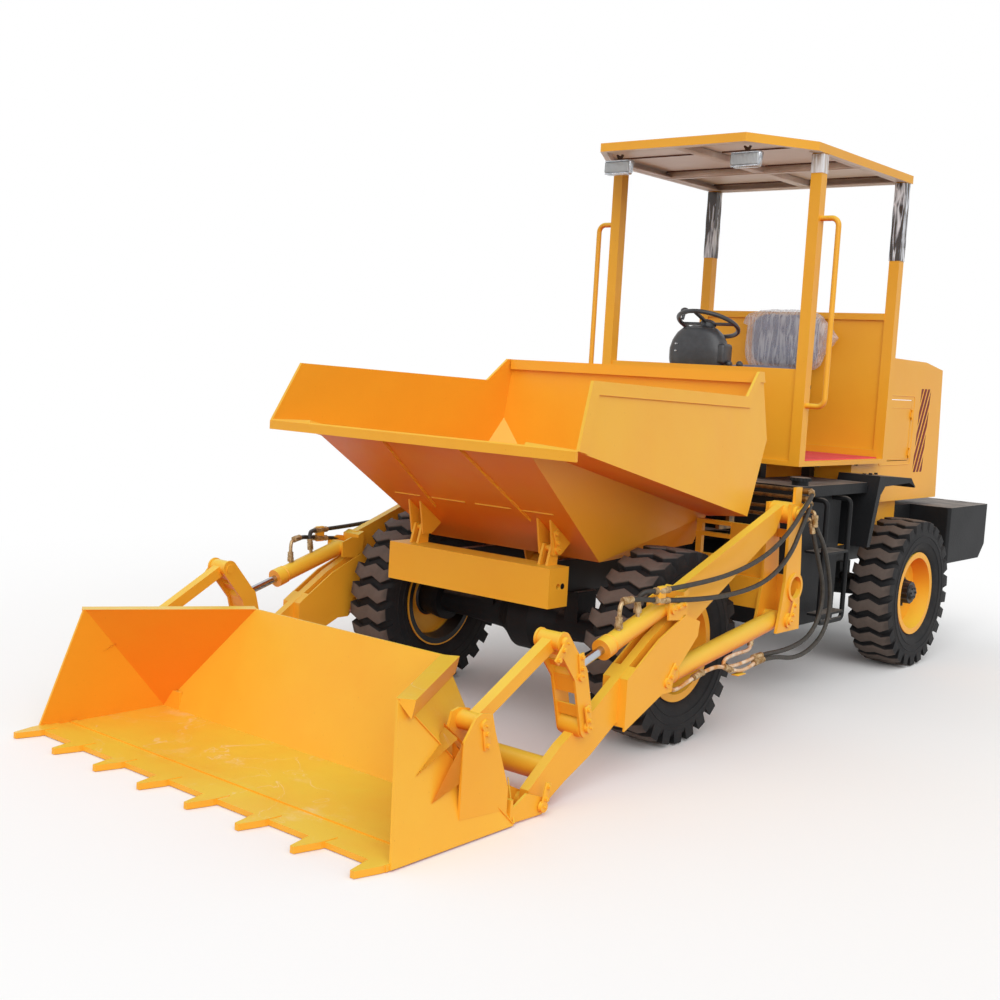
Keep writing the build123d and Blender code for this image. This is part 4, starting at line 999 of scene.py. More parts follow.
    def crank_web(self, bm, side):
        """Plates between a bell crank's cheeks along its front edge, with windows left open between them."""
        for ends in self.WEB:
            foot, top = on_side(side, [(LOADER_X, *end) for end in ends])
            half = Vector((*self.WEB_HALF, (top - foot).length / 2))
            centre = (foot + top) / 2
            lean = Matrix.Rotation(math.atan2(foot.y - top.y, top.z - foot.z), 4, "X")
            slab(bm, centre - half, centre + half, 0.0015, 1, lean)

    def skip_welds(self, enamel):
        """Runs of weld down the ribs of the skip's front slope and across its foot."""
        size = self.sizes.bead
        bm = bmesh.new()
        for side, _ in SIDES:
            for edge in (-self.RIB_HALF, self.RIB_HALF):
                for share in self.STITCHES:
                    x = side * (self.RIB_X + self.RIB_SPREAD * share + edge)
                    foot = at(x, *self.SLOPE_TOP) + self.SLOPE * share + self.SLOPE_OUT * 0.002
                    bead(bm, foot, foot + self.SLOPE * self.STITCH + X * side * 0.005, size)
            seam = at(0, *self.SLOPE_TOP) + self.SLOPE * self.SEAM + self.SLOPE_OUT * 0.001
            for near, far in self.SEAM_RUNS:
                bead(bm, seam + X * side * near, seam + X * side * far, size)
        piece("skip_welds", bm, enamel, "skip")

    def platform_bolts(self):
        """Bolt heads under the platform's edge."""
        bm = bmesh.new()
        low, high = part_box("platform")
        for side, _ in SIDES:
            for y in self.EDGE_BOLTS:
                foot = Vector((side * (high.x - self.EDGE_BOLT_INSET), low.y + y, low.z))
                rounds(bm, foot, Z, self.EDGE_BOLT)
        piece("platform_bolts", bm, bpy.data.materials["chassis_black"], "rear_frame")


class DUMPER_OT_driver_place(Dressing, bpy.types.Operator):
    """Adds the moulded console, the steering knob, the padded seat and the lever knobs"""
    bl_idname = "dumper.driver_place"
    bl_label = "Driver's place"

    # console pod: x, y and z of its foot; its half width and half depth at heights above it; its outline's
    # power, which is 2 for an ellipse; and how far the top's edge droops
    POD_FOOT = (-0.085, 1.427, 1.595)
    POD = ((0.0, 0.135, 0.064), (0.05, 0.160, 0.074), (0.11, 0.175, 0.081), (0.17, 0.176, 0.082),
           (0.22, 0.160, 0.077), (0.26, 0.132, 0.069), (0.285, 0.102, 0.058), (0.302, 0.066, 0.044))
    POD_POWER, POD_DROOP = 2.7, 0.012
    COLUMN_HALF = Vector((0.085, 0.06, 0))               # half the column's width and depth
    COLUMN_LAP = Vector((0, 0, 0.02))                    # how far the column goes up into the pod
    # box at the pod's side, from the pod's foot; the two screws beside it
    SIDE_BOX = (Vector((0.142, -0.055, 0.095)), Vector((0.190, 0.045, 0.205)))
    SCREWS = ((Vector((-0.098, -0.070, 0.157)), Vector((-0.102, -0.083, 0.157))),
              (Vector((-0.098, -0.070, 0.195)), Vector((-0.102, -0.083, 0.195))))
    # steering: the column's line, its cover below the wheel and its cap, and the spinner knob on the rim
    STEERING = Vector((0, 0.36, 0.93))
    COVER, WHEEL_CAP = (-0.085, -0.012, 0.036, 0.026, 28), (-0.004, 0.014, 0.046, 0.036, 32)
    KNOB, KNOB_STEM = Vector((-0.150, -0.030, 0.022)), (0.0, 0.034, 0.009, None, 14)
    KNOB_RISE, KNOB_RADIUS, KNOB_FLATNESS = 0.050, 0.024, 0.8
    # lever knobs: x of each, their y, how far below the levers' top, collar and ball
    LEVERS, LEVER_Y, LEVER_DROP = (0.112, 0.177), 1.425, 0.008
    COLLAR, BALL = (-0.034, -0.01, 0.013, 0.017, 18), 0.019
    # seat: depth and height of its back, height of its cushion, gap round a pad before it is puffed, how
    # far its points may move then, its outline's power, how much and how sharply it thins to its edge
    BACK_DEPTH, BACK_HEIGHT, CUSHION_HEIGHT = 0.10, 0.33, 0.10
    PAD_GAP, PAD_SWELL = 0.008, 0.010
    PAD_POWER, THINNING, THINNING_POWER = 4.5, 0.45, 5
    # sewn channels: place and width as shares of the half width, depth
    CHANNEL, CHANNEL_WIDTH, CHANNEL_DEPTH = 0.44, 0.035, 0.006
    # seat stand: y from the seat's front, radii; plate on it: half width, y and z from and to
    STAND_Y, STAND_RADII = 0.24, (0.14, 0.10)
    STAND_PLATE = (0.2, (0.04, 0.40), (-0.02, 0.006))

    def execute(self, context):
        moulded = bpy.data.materials["moulded_abs"]
        self.console(moulded)
        self.knobs(moulded)
        self.seat()
        return {"FINISHED"}

    def console(self, moulded):
        """Bell shaped pod on its column, with a box and two screws at its sides and the steering cover."""
        foot = at(*self.POD_FOOT)
        floor = Vector((foot.x, foot.y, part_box("floor_mat")[1].z))
        bm = bmesh.new()
        rounded_block(bm, 20, lambda p: self.pod(p, foot))
        slab(bm, floor - self.COLUMN_HALF, foot + self.COLUMN_HALF + self.COLUMN_LAP, 0.02, 3)
        slab(bm, *(foot + corner for corner in self.SIDE_BOX), 0.018, 4)
        rounds(bm, middle("steering_wheel"), self.STEERING, (self.COVER,))
        console = piece("moulded_console", bm, moulded, "rear_frame", 50)
        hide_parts("console")
        bm = bmesh.new()
        for near, far in self.SCREWS:
            drum(bm, foot + near, foot + far, 0.0045, sides=12)
        # zinc plated screws: pale and bright
        screw = plain("bright_screw", "C9CDD2", "E8EAEC", 10, 0.3, Metallic=0.6)
        piece("console_screws", bm, screw, "rear_frame")

    def pod(self, p, foot):
        """Point of the bell shaped pod from its place on the block."""
        rise = (p.z + 1) / 2 * self.POD[-1][0]
        for (z0, w0, d0), (z1, w1, d1) in zip(self.POD, self.POD[1:]):
            if rise <= z1 + 1e-6:
                t = (rise - z0) / (z1 - z0)
                width, depth = w0 + (w1 - w0) * t, d0 + (d1 - d0) * t
                break
        share = rounding(p.x, p.y, self.POD_POWER)
        droop = self.POD_DROOP * max(abs(p.x), abs(p.y)) ** 4 * (p.z > 0.99)
        return foot + Vector((p.x * share * width, p.y * share * depth, rise - droop))

    def knobs(self, moulded):
        """Steering wheel's cap with its spinner knob, and the knobs of the two levers."""
        wheel = middle("steering_wheel")
        bm = bmesh.new()
        rounds(bm, wheel, self.STEERING, (self.WHEEL_CAP,))
        rounds(bm, wheel + self.KNOB, self.STEERING, (self.KNOB_STEM,))
        ball = Matrix.Translation(wheel + self.KNOB + self.STEERING * self.KNOB_RISE)
        bmesh.ops.create_uvsphere(bm, u_segments=22, v_segments=14, radius=self.KNOB_RADIUS,
                                  matrix=ball @ Matrix.Diagonal((1, 1, self.KNOB_FLATNESS, 1)))
        piece("steering_knob", bm, moulded, "rear_frame")
        bm = bmesh.new()
        for x in self.LEVERS:
            place = at(x, self.LEVER_Y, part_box("levers")[1].z - self.LEVER_DROP)
            rounds(bm, place, Z, (self.COLLAR,))
            bmesh.ops.create_uvsphere(bm, u_segments=18, v_segments=12, radius=self.BALL,
                                      matrix=Matrix.Translation(place))
        piece("lever_knobs", bm, moulded, "rear_frame")

    def seat(self):
        """Seat cushion and back, each a pad puffed by its filling, with two sewn channels, on a stand."""
        # calendered vinyl sheet: blue grey in two close tones, soft sheen
        vinyl = plain("seat_vinyl", self.colours.seat, "5E637A", 60, 0.5)
        low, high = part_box("seat")
        back_front = high.y - self.BACK_DEPTH
        top = high.z - self.BACK_HEIGHT
        foot = top - self.CUSHION_HEIGHT
        # pad: one corner, the other corner, the axis that it is thin along
        pads = {"seat_cushion": (Vector((low.x, low.y, foot)), Vector((high.x, back_front, top)), 2),
                "seat_back": (Vector((low.x, back_front, top)), high, 1)}
        for name, (pad_low, pad_high, thin) in pads.items():
            bm = bmesh.new()
            centre = (pad_low + pad_high) / 2
            half = (pad_high - pad_low) / 2 - Vector((self.PAD_GAP,) * 3)
            rounded_block(bm, 14, lambda p: self.pad(p, centre, half, thin))
            cushion = puffed(piece(name, bm, vinyl, "rear_frame", 60), self.PAD_SWELL)
            self.sew(cushion, centre, half, thin)
            layers = cushion.modifiers.new("smooth", "SUBSURF")
            layers.levels = layers.render_levels = 1
            if name == "seat_back":
                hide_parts("seat")
        bm = bmesh.new()
        middle_y = low.y + self.STAND_Y
        drum(bm, (0, middle_y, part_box("floor_mat")[1].z), (0, middle_y, foot), *self.STAND_RADII, 32)
        x, (y0, y1), (z0, z1) = self.STAND_PLATE
        slab(bm, (-x, low.y + y0, foot + z0), (x, low.y + y1, foot + z1), 0.006)
        piece("seat_stand", bm, bpy.data.materials["chassis_black"], "rear_frame")

    def pad(self, p, centre, half, thin):
        """Point of a pad with rounded corners and a crown, from its place on the block."""
        wide = [i for i in range(3) if i != thin]
        share = rounding(*(p[i] for i in wide), self.PAD_POWER)
        edge = max(abs(p[i]) for i in wide)
        place = centre.copy()
        for i in wide:
            place[i] += half[i] * p[i] * share
        place[thin] += half[thin] * p[thin] * (1 - self.THINNING * edge ** self.THINNING_POWER)
        return place

    def sew(self, cushion, centre, half, thin):
        """Draws two channels into both faces of a pad, lengthwise."""
        for v in cushion.data.vertices:
            across, through = ((v.co[i] - centre[i]) / half[i] for i in (0, thin))
            channel = math.exp(-((abs(across) - self.CHANNEL) / self.CHANNEL_WIDTH) ** 2)
            v.co[thin] -= math.copysign(self.CHANNEL_DEPTH, through) * channel * (abs(through) > 0.4)


class DUMPER_OT_films(Dressing, bpy.types.Operator):
    """Adds the clear packing film on the seat's back and round the posts' tops"""
    bl_idname = "dumper.films"
    bl_label = "Packing film"

    # post: side, at the rear or not, lowest height of its film
    POSTS = {"rear_left": (1, True, 2.33), "rear_right": (-1, True, 2.36), "front_left": (1, False, 2.67)}
    POST_HALF, WRAP_HALF = 0.03, 0.033                   # half of a post's width, and of its film's
    WRAP_SIDES, WRAP_ROW = 32, 0.012                     # faces round a film, and how high one is
    WRAP_TIGHT = 0.985                                   # share of its half width that a film keeps
    WRINKLE, WRINKLE_SCALES = 0.0028, (3, 9)             # height of a wrinkle; how close, round and upwards
    # seat's film: middle below the back's top and ahead of its rear; half sizes, the first beyond the seat's
    COVER_DROP, COVER_IN = 0.172, 0.05
    COVER_WIDER, COVER_HALF_DEPTH, COVER_HALF_HEIGHT = 0.018, 0.068, 0.182
    COVER_FOOT = 0.335                                   # where its open foot is cut, below the back's top
    COVER_POWER = 4.0                                    # power of its outline, which is 2 for an ellipse
    FOLD, FOLD_SCALES = 0.006, Vector((9, 2, 1.6))       # height of a crease; how close they lie
    COVER_THINNING, COVER_THINNING_POWER = 0.55, 6       # how much and how sharply it thins to its edge
    # loose folds: how far each stands out, how sharply they rise to the side, and where, in half heights: the
    # left one about a middle, fading at a distance from it, the right one above a foot
    LEFT_FOLD, RIGHT_FOLD, FOLD_POWER = 0.135, 0.030, 8
    LEFT_MIDDLE, LEFT_FADE, RIGHT_FOOT = 0.15, 0.6, 0.5

    def execute(self, context):
        self.seat_cover(packing_film("packing_film", 0.30, 0.50, 30, "E2E4EE"))
        clean = packing_film("clean_post_film", 0.75, 0.95, 40, "D8D2CC")
        # the rear posts' film is dark grey with white creases: a painted reflection in the film
        painted_reflection_film = packing_film("smeared_post_film", 0.85, 1.0, 40, "3E3E44")
        low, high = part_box("canopy_posts")
        for word, (side, rear, foot) in self.POSTS.items():
            y = high.y - self.POST_HALF if rear else low.y + self.POST_HALF
            centre = Vector((side * (high.x - self.POST_HALF), y, 0))
            self.sleeve("post_film_" + word, centre, foot, high.z - 0.004, painted_reflection_film if rear else clean)
        return {"FINISHED"}

    def sleeve(self, name, centre, foot, top, film):
        """Film wound round a square post, a few millimetres proud and wrinkled."""
        bm = bmesh.new()
        half, (close, tall) = self.WRAP_HALF, self.WRINKLE_SCALES
        bmesh.ops.create_grid(bm, x_segments=self.WRAP_SIDES, y_segments=int((top - foot) / self.WRAP_ROW),
                              size=1.0)
        for v in bm.verts:
            angle = math.pi * (v.co.x + 1)
            c, s = math.cos(angle), math.sin(angle)
            z = foot + (top - foot) * (v.co.y + 1) / 2
            wrinkle = self.WRINKLE * noise.noise(Vector((c * close, s * close, z * tall)))
            reach = half / max(abs(c), abs(s)) * self.WRAP_TIGHT + wrinkle
            v.co = centre + Vector((c * reach, s * reach, z))
        bmesh.ops.remove_doubles(bm, verts=bm.verts, dist=0.0005)
        bmesh.ops.recalc_face_normals(bm, faces=bm.faces)
        sleeve = piece(name, bm, film, "rear_frame", 60)

    def seat_cover(self, film):
        """Film bag pulled over the seat's back, open at its foot, with a loose fold at each side."""
        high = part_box("seat")[1]
        centre = Vector((0, high.y - self.COVER_IN, high.z - self.COVER_DROP))
        half = Vector((high.x + self.COVER_WIDER, self.COVER_HALF_DEPTH, self.COVER_HALF_HEIGHT))

        def shape(p):
            share = rounding(p.x, p.z, self.COVER_POWER)
            edge = max(abs(p.x), abs(p.z))
            crease = self.FOLD * noise.noise(p * self.FOLD_SCALES)
            left = max(0.0, p.x) ** self.FOLD_POWER * (self.LEFT_FADE - abs(p.z - self.LEFT_MIDDLE))
            right = max(0.0, -p.x) ** self.FOLD_POWER * (p.z > self.RIGHT_FOOT)
            loose = self.LEFT_FOLD * left + self.RIGHT_FOLD * right
            return centre + Vector((
                half.x * p.x * share + math.copysign(max(loose, 0.0), p.x),
                half.y * p.y * (1 - self.COVER_THINNING * edge ** self.COVER_THINNING_POWER)
                + crease * (1 if p.y > 0 else -1),
                half.z * p.z * share + crease * 0.7))
        bm = bmesh.new()
        rounded_block(bm, 34, shape)
        clipped(bm, (0, 0, high.z - self.COVER_FOOT), -Z)
        area = sum(face.calc_area() for face in bm.faces)
        cover = piece("seat_film", bm, film, "rear_frame", 70)


class DUMPER_OT_lamps(Dressing, bpy.types.Operator):
    """Builds the two work lamps and the pale ribs under the roof"""
    bl_idname = "dumper.lamps"
    bl_label = "Work lamps and roof ribs"

    LAMPS = ((0.372, "left"), (-0.402, "right"))         # x of each lamp
    # boxes of a lamp, from its middle and the lamps' front: half width, y from and to, z from and to
    SHELL = (0.088, 0.012, 0.055, 2.664, 2.744)
    RIMS = ((0.076, 0.004, 0.020, 2.733, 2.741), (0.076, 0.004, 0.020, 2.667, 2.675))
    LENS = (0.078, 0.002, 0.018, 2.676, 2.732)
    STRAP = (0.034, 0.026, 0.044, 2.742, 2.748)
    WAIST, NARROWING = 2.70, 0.86                        # below this height the shell is that share as wide
    LEANS, STAY_SHIFT, STAY_HALF = (-0.5, 0.5), 0.02, 0.004      # stays: lean, shift for it, half width
    STAY_Y, STAY_FOOT = (0.026, 0.042), 2.744
    NUT, NUT_Z = (0.022, 0.046, 0.008, None, 6), 2.758
    # pressed ribs under the roof: x and y from, x and y to, height above the frame's underside
    RIBS = ((-0.032, 0.93, 0.032, 2.37, 0.004), (-0.616, 1.785, 0.616, 1.845, 0.006))
    # inner flange: x and y from, x and y to
    FLANGE = ((-0.618, 1.27, -0.574, 2.37), (0.574, 1.27, 0.618, 2.37), (-0.616, 2.33, 0.616, 2.372),
              (-0.415, 0.90, 0.415, 0.94))
    SEAM_RUNS, SEAM_Y = ((-0.60, -0.05), (0.05, 0.60)), (1.30, 1.77, 1.86, 2.31)

    def execute(self, context):
        # pressed steel shell, chrome plated: bright, slightly cloudy
        chrome = plain("bright_lamp_shell", "A9ADB3", "D9DCE0", 20, 0.2, 0.0003, Metallic=0.75)
        # bent steel strip, rusted: brown and matt
        rusty = plain("rusty_bracket", "4A3224", "6E4A34", 10, 0.7)
        lens = fluted_lens()
        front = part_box("lamps")[0].y
        for x, word in self.LAMPS:
            foot = Vector((x, front, 0))
            bm = bmesh.new()
            made = self.box(bm, foot, self.SHELL)
            for v in made:
                if v.co.z < self.WAIST:
                    v.co.x = x + (v.co.x - x) * self.NARROWING
            bmesh.ops.bevel(bm, geom=list({e for v in made for e in v.link_edges}), offset=0.013, segments=4,
                            profile=0.5, affect="EDGES", material=-1)
            for rim in self.RIMS:
                self.box(bm, foot, rim, 0.0025)
            shell = piece("lamp_shell_" + word, bm, chrome, "rear_frame")
            bm = bmesh.new()
            self.box(bm, foot, self.LENS, 0.006, 3)
            piece("lamp_lens_" + word, bm, lens, "rear_frame")
            bm = bmesh.new()
            self.bracket(bm, foot)
            piece("lamp_bracket_" + word, bm, rusty, "rear_frame")
            if word == "left":
                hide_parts("lamps")
        self.ribs()
        return {"FINISHED"}

    def box(self, bm, foot, sizes, edge=0.0, segments=2):
        """Box of a lamp, from its half width and its y and z from and to."""
        half, y0, y1, z0, z1 = sizes
        return slab(bm, foot + Vector((-half, y0, z0)), foot + Vector((half, y1, z1)), edge, segments)

    def bracket(self, bm, foot):
        """Strap on the lamp's top, two leaning stays up to the roof frame, and the nut between them."""
        self.box(bm, foot, self.STRAP, 0.001, 1)
        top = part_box("roof_frame")[0].z + 0.006
        for lean in self.LEANS:
            middle_x = lean * self.STAY_SHIFT
            slab(bm, foot + Vector((middle_x - self.STAY_HALF, self.STAY_Y[0], self.STAY_FOOT)),
                 foot + Vector((middle_x + self.STAY_HALF, self.STAY_Y[1], top)),
                 0.001, 1, Matrix.Rotation(lean, 4, "Y"))
        rounds(bm, foot + Z * self.NUT_Z, Y, (self.NUT,))

    def ribs(self):
        """Pressed ribs and inner flange under the roof, and the seams of its sheets."""
        low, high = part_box("roof_frame")
        bm = bmesh.new()
        for x0, y0, x1, y1, rise in self.RIBS:
            slab(bm, at(x0, y0, low.z + rise), at(x1, y1, high.z - 0.006), 0.004)
        for x0, y0, x1, y1 in self.FLANGE:
            slab(bm, at(x0, y0, low.z + 0.002), at(x1, y1, low.z + 0.008), 0.001, 1)
        # folded sheet in pale primer: flat, a little uneven
        piece("roof_ribs", bm, plain("primer_rib", self.colours.cream, "CDBAB0", 300, 0.5), "rear_frame")
        bm = bmesh.new()
        for x0, x1 in self.SEAM_RUNS:
            for y in self.SEAM_Y:
                slab(bm, at(x0, y - 0.003, high.z - 0.011), at(x1, y + 0.003, high.z - 0.003))
        # brushed seam sealer: dull red brown
        piece("roof_seams", bm, plain("seam_sealer", "5A3A30", "6E4A3C", 20, 0.8), "rear_frame")


class DUMPER_OT_body_trim(Dressing, bpy.types.Operator):
    """Adds the hood door's pressed frame and catch, the louvres, the tank caps, bolts and beam holes"""
    bl_idname = "dumper.body_trim"
    bl_label = "Body trim"

    # pressed line round the hood door: y from and to, z from and to, radius, body; and its corners' size
    DOOR_LINES = {
        "door_frame": ((2.425, 2.872), (1.160, 1.572), 0.0035, "rear_frame"),
        "door_line": ((2.462, 2.824), (1.196, 1.500), 0.0025, "hood_door"),
    }
    CORNER = 0.045
    # catch: y and z of its two corners, and of the round in it
    CATCH, CATCH_ROUND = ((2.470, 1.335), (2.500, 1.395)), (2.485, 1.365)
    # side louvres: their window's y and z, its front edge's foot and lean, a louvre's slope, and how many,
    # how far apart and how high they are, from the first one's foot
    WINDOW_Y, WINDOW_Z = (2.925, 3.070), (1.11, 1.62)
    EDGE_Y, EDGE_LEAN, SLOPE = 2.900, 0.040 / 0.510, 0.520 / 0.230
    LOUVRES, PITCH, BLADE, FIRST_FOOT = 9, 0.11, 0.070, 0.628
    # dark red sheets behind the louvres, painted shade for the hood's dark inside: y and z of two corners at
    # the sides; x and z of two corners at the rear
    SIDE_BACKING, REAR_BACKING = ((2.90, 1.09), (3.13, 1.64)), ((-0.39, 1.06), (0.39, 1.48))
    # tank caps: place, rounds, and how many ribs on what radius with what rounds
    CAP, CAP_ROUND = (0.70, 1.210, 1.123), (-0.006, 0.012, 0.052, 0.049, 36)
    CAP_RIBS, CAP_RIB_RADIUS, CAP_RIB = 16, 0.050, (-0.004, 0.010, 0.005, None, 6)
    # bolts on the fenders: x, y of each, z, and rounds; holes in the front beam's ends: place, and rounds
    FENDER_X, FENDER_Y, FENDER_Z, FENDER_BOLT = 0.70, (1.96, 2.04, 2.11), 1.128, (0.0, 0.010, 0.010, None, 6)
    BEAM_END, BEAM_HOLE = (0.4712, -0.440, 0.690), (-0.004, 0.0006, 0.013, None, 24)

    def execute(self, context):
        enamel, black = (bpy.data.materials[name] for name in ("machine_enamel", "chassis_black"))
        side = -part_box("hood")[0].x
        for name, (ys, zs, radius, body) in self.DOOR_LINES.items():
            run = [at(side - 0.0005, y, z) for y, z in self.outline(*ys, *zs)]
            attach(smooth_tube(name, run, radius, enamel, closed=True), body)
        bm = bmesh.new()
        low, high = self.CATCH
        slab(bm, at(side - 0.001, *low), at(side + 0.008, *high), 0.004)
        drum(bm, at(side + 0.006, *self.CATCH_ROUND), at(side + 0.013, *self.CATCH_ROUND), 0.009, sides=20)
        # die cast zinc: grey, half bright
        piece("door_catch", bm, plain("zinc_catch", "8E9094", "B5B7BA", 10, 0.4, Metallic=0.8), "hood_door")
        # dark red, matt sheet: painted shade for the dark inside of the louvre slots
        self.louvres(side, plain("red_oxide_primer", "6A1610", "842218", 50, 0.7))
        bm = bmesh.new()
        for cap in (at(x * self.CAP[0], *self.CAP[1:]) for x in (-1, 1)):
            rounds(bm, cap, Z, (self.CAP_ROUND,))
            for foot in around(cap, X, Y, self.CAP_RIB_RADIUS, self.CAP_RIBS):
                rounds(bm, foot, Z, (self.CAP_RIB,))
        piece("tank_caps", bm, black, "rear_frame")
        bm = bmesh.new()
        for x in (-self.FENDER_X, self.FENDER_X):
            for y in self.FENDER_Y:
                rounds(bm, at(x, y, self.FENDER_Z), Z, (self.FENDER_BOLT,))
        piece("fender_bolts", bm, black, "rear_frame")
        bm = bmesh.new()
        for x in (-1, 1):
            rounds(bm, at(x * self.BEAM_END[0], *self.BEAM_END[1:]), X * x, (self.BEAM_HOLE,))
        piece("beam_holes", bm, black, "front_frame")
        return {"FINISHED"}

    def outline(self, y0, y1, z0, z1):
        """Points of a rectangle for a smooth line that rounds its corners."""
        r = self.CORNER
        return ((y0 + r, z0), (y1 - r, z0), (y1, z0), (y1, z0 + r), (y1, z1 - r), (y1, z1), (y1 - r, z1),
                (y0 + r, z1), (y0, z1), (y0, z1 - r), (y0, z0 + r), (y0, z0))

    def louvres(self, side, primer):
        """Dark red sheets behind the louvres, and dark red slanted louvres in the hood's side windows:
        painted shade for the inside of the slots.
        """
        bm = bmesh.new()
        (y0, z0), (y1, z1) = self.SIDE_BACKING
        for x in (side - 0.012, -side + 0.012):
            slab(bm, at(x - 0.002, y0, z0), at(x + 0.002, y1, z1), 0.001, 1)
        (x0, z0), (x1, z1) = self.REAR_BACKING
        slab(bm, at(x0, HOOD_REAR - 0.060, z0), at(x1, HOOD_REAR - 0.056, z1), 0.001, 1)
        piece("louvre_backing", bm, primer, "rear_frame")
        bm = bmesh.new()
        (front, rear), (lowest, highest) = self.WINDOW_Y, self.WINDOW_Z
        for x in (-side - 0.0012, side + 0.0002):
            for step in range(self.LOUVRES):
                foot = self.FIRST_FOOT + self.PITCH * step
                ends = ((front, foot), (rear, foot), (rear, foot + self.BLADE), (front, foot + self.BLADE))
                bm.faces.new([bm.verts.new(at(x, *self.louvre_end(edge, z))) for edge, z in ends])
        clipped(bm, (0, 0, lowest), -Z)
        clipped(bm, (0, 0, highest), Z)
        bmesh.ops.recalc_face_normals(bm, faces=bm.faces)
        bmesh.ops.solidify(bm, geom=list(bm.faces), thickness=0.001)
        piece("louvres", bm, primer, "rear_frame")

    def louvre_end(self, edge, foot):
        """y and z where the line up from a louvre's foot crosses an edge of the leaning window."""
        y = edge + self.EDGE_LEAN * (foot - self.WINDOW_Z[0] - self.EDGE_Y * self.SLOPE)
        y /= 1 - self.EDGE_LEAN * self.SLOPE
        return y, foot + (y - self.EDGE_Y) * self.SLOPE


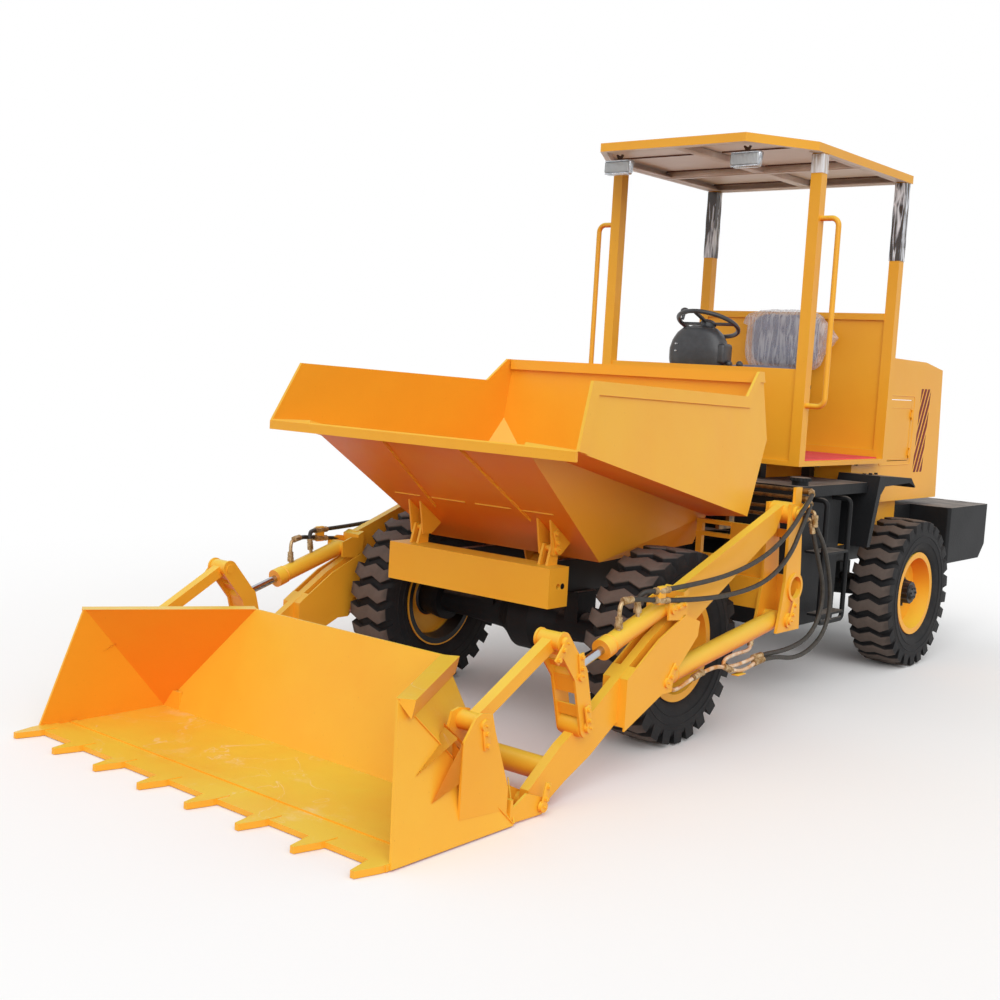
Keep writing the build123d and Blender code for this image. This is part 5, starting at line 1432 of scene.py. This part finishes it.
class DUMPER_OT_studio(Dressing, bpy.types.Operator):
    """Sets up the pale floor, the soft light and the camera"""
    bl_idname = "dumper.studio"
    bl_label = "Studio"

    WHITE = (1, 1, 1, 1)
    FLOOR_RADIUS = 60.0
    FADE = (3.6, 6.0)                # the floor fades to white between these distances from the middle

    def execute(self, context):
        scene = context.scene
        studio = scene.dumper_studio
        scene.view_settings.view_transform = "Standard"
        self.camera(scene, studio)
        self.sky(scene, studio)
        self.floor()
        key = bpy.data.lights.new("key_light", "SUN")
        key.energy = studio.sun
        key.angle = math.radians(studio.sun_angle)
        lamp = bpy.data.objects.new("key_light", key)
        towards = self.direction(studio.sun_azimuth, studio.sun_elevation)
        lamp.rotation_euler = towards.to_track_quat("Z", "Y").to_euler()
        scene.collection.objects.link(lamp)
        return {"FINISHED"}

    def direction(self, azimuth, elevation):
        """Direction from the machine, from degrees towards its left and degrees upwards."""
        a, e = math.radians(azimuth), math.radians(elevation)
        return Vector((math.sin(a) * math.cos(e), -math.cos(a) * math.cos(e), math.sin(e)))

    def camera(self, scene, studio):
        """Places the camera by its azimuth, elevation and roll."""
        roll = math.radians(studio.roll)
        back = self.direction(studio.azimuth, studio.elevation)
        right = Z.cross(back).normalized()
        up = back.cross(right)
        across = right * math.cos(roll) + up * math.sin(roll)
        upright = up * math.cos(roll) - right * math.sin(roll)
        data = bpy.data.cameras.new("camera")
        data.lens = studio.lens
        data.sensor_width = 36.0
        camera = bpy.data.objects.new("camera", data)
        turn = Matrix((across, upright, back)).transposed().to_4x4()
        camera.matrix_world = Matrix.Translation(studio.place) @ turn
        scene.collection.objects.link(camera)
        scene.camera = camera

    def sky(self, scene, studio):
        """Even white light; the camera, reflections and clear parts see plain white."""
        world = bpy.data.worlds.new("studio_sky")
        scene.world = world
        world.use_nodes = True
        tree = world.node_tree
        tree.nodes.clear()
        light, shown = (add(tree, "ShaderNodeBackground", {"Color": self.WHITE, "Strength": strength})
                        for strength in (studio.sky, 1.0))
        both = add(tree, "ShaderNodeMixShader", {0: self.seen(tree), 1: light, 2: shown})
        add(tree, "ShaderNodeOutputWorld", {"Surface": both})

    def seen(self, tree):
        """1 for rays from the camera, in reflections and through clear parts."""
        path = add(tree, "ShaderNodeLightPath", {}).outputs
        direct, through, mirrored = (path[f"Is {ray} Ray"] for ray in ("Camera", "Transmission", "Glossy"))
        clear = add(tree, MATH, {0: direct, 1: through}, operation="MAXIMUM")
        return add(tree, MATH, {0: clear, 1: mirrored}, operation="MAXIMUM")

    def floor(self):
        """Round floor: near white to the camera, a warm grey in the light it throws back up."""
        material, tree, place = start("pale_floor")
        seen = self.seen(tree)
        tone = add(tree, MIX, {FACTOR: seen, FIRST: srgb("DAD6D2"), SECOND: srgb("FAFAFA")}, **COLOUR)
        ground = add(tree, "ShaderNodeBsdfDiffuse", {"Color": tone})
        beyond = add(tree, "ShaderNodeEmission", {"Color": self.WHITE, "Strength": seen})
        away = add(tree, VECTOR, {0: place}, operation="LENGTH").outputs["Value"]
        fade = add(tree, RANGE, {"Value": away, "From Min": self.FADE[0], "From Max": self.FADE[1]})
        both = add(tree, "ShaderNodeMixShader", {0: fade, 1: ground, 2: beyond})
        add(tree, OUTPUT, {"Surface": both})
        bm = bmesh.new()
        bmesh.ops.create_circle(bm, cap_ends=True, segments=96, radius=self.FLOOR_RADIUS)
        floor = piece("floor", bm, material, None)


OPERATORS = (DUMPER_OT_paint, DUMPER_OT_tyres, DUMPER_OT_hubs, DUMPER_OT_hoses, DUMPER_OT_fastenings,
             DUMPER_OT_driver_place, DUMPER_OT_films, DUMPER_OT_lamps, DUMPER_OT_body_trim, DUMPER_OT_studio)


class DUMPER_PT_panel(bpy.types.Panel):
    """Lists the dressing steps and their settings"""
    bl_label = "Site dumper"
    bl_idname = "DUMPER_PT_panel"
    bl_space_type = "VIEW_3D"
    bl_region_type = "UI"
    bl_category = "Dumper"

    def draw(self, context):
        for operator in OPERATORS:
            self.layout.operator(operator.bl_idname)
        for group in (context.scene.dumper_colours, context.scene.dumper_sizes, context.scene.dumper_studio):
            for name in group.bl_rna.properties.keys():
                if name not in ("rna_type", "name"):
                    self.layout.prop(group, name)


GROUPS = {"dumper_colours": DumperColours, "dumper_sizes": DumperSizes, "dumper_studio": StudioSettings}
CLASSES = tuple(GROUPS.values()) + OPERATORS + (DUMPER_PT_panel,)


def register():
    for cls in CLASSES:
        bpy.utils.register_class(cls)
    for name, group in GROUPS.items():
        setattr(bpy.types.Scene, name, bpy.props.PointerProperty(type=group))


def unregister():
    for name in GROUPS:
        delattr(bpy.types.Scene, name)
    for cls in reversed(CLASSES):
        bpy.utils.unregister_class(cls)


def main():
    """Registers the add-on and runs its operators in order."""
    register()
    for step in OPERATORS:
        group, name = step.bl_idname.split(".")
        getattr(getattr(bpy.ops, group), name)()


if __name__ == "__main__":
    main()
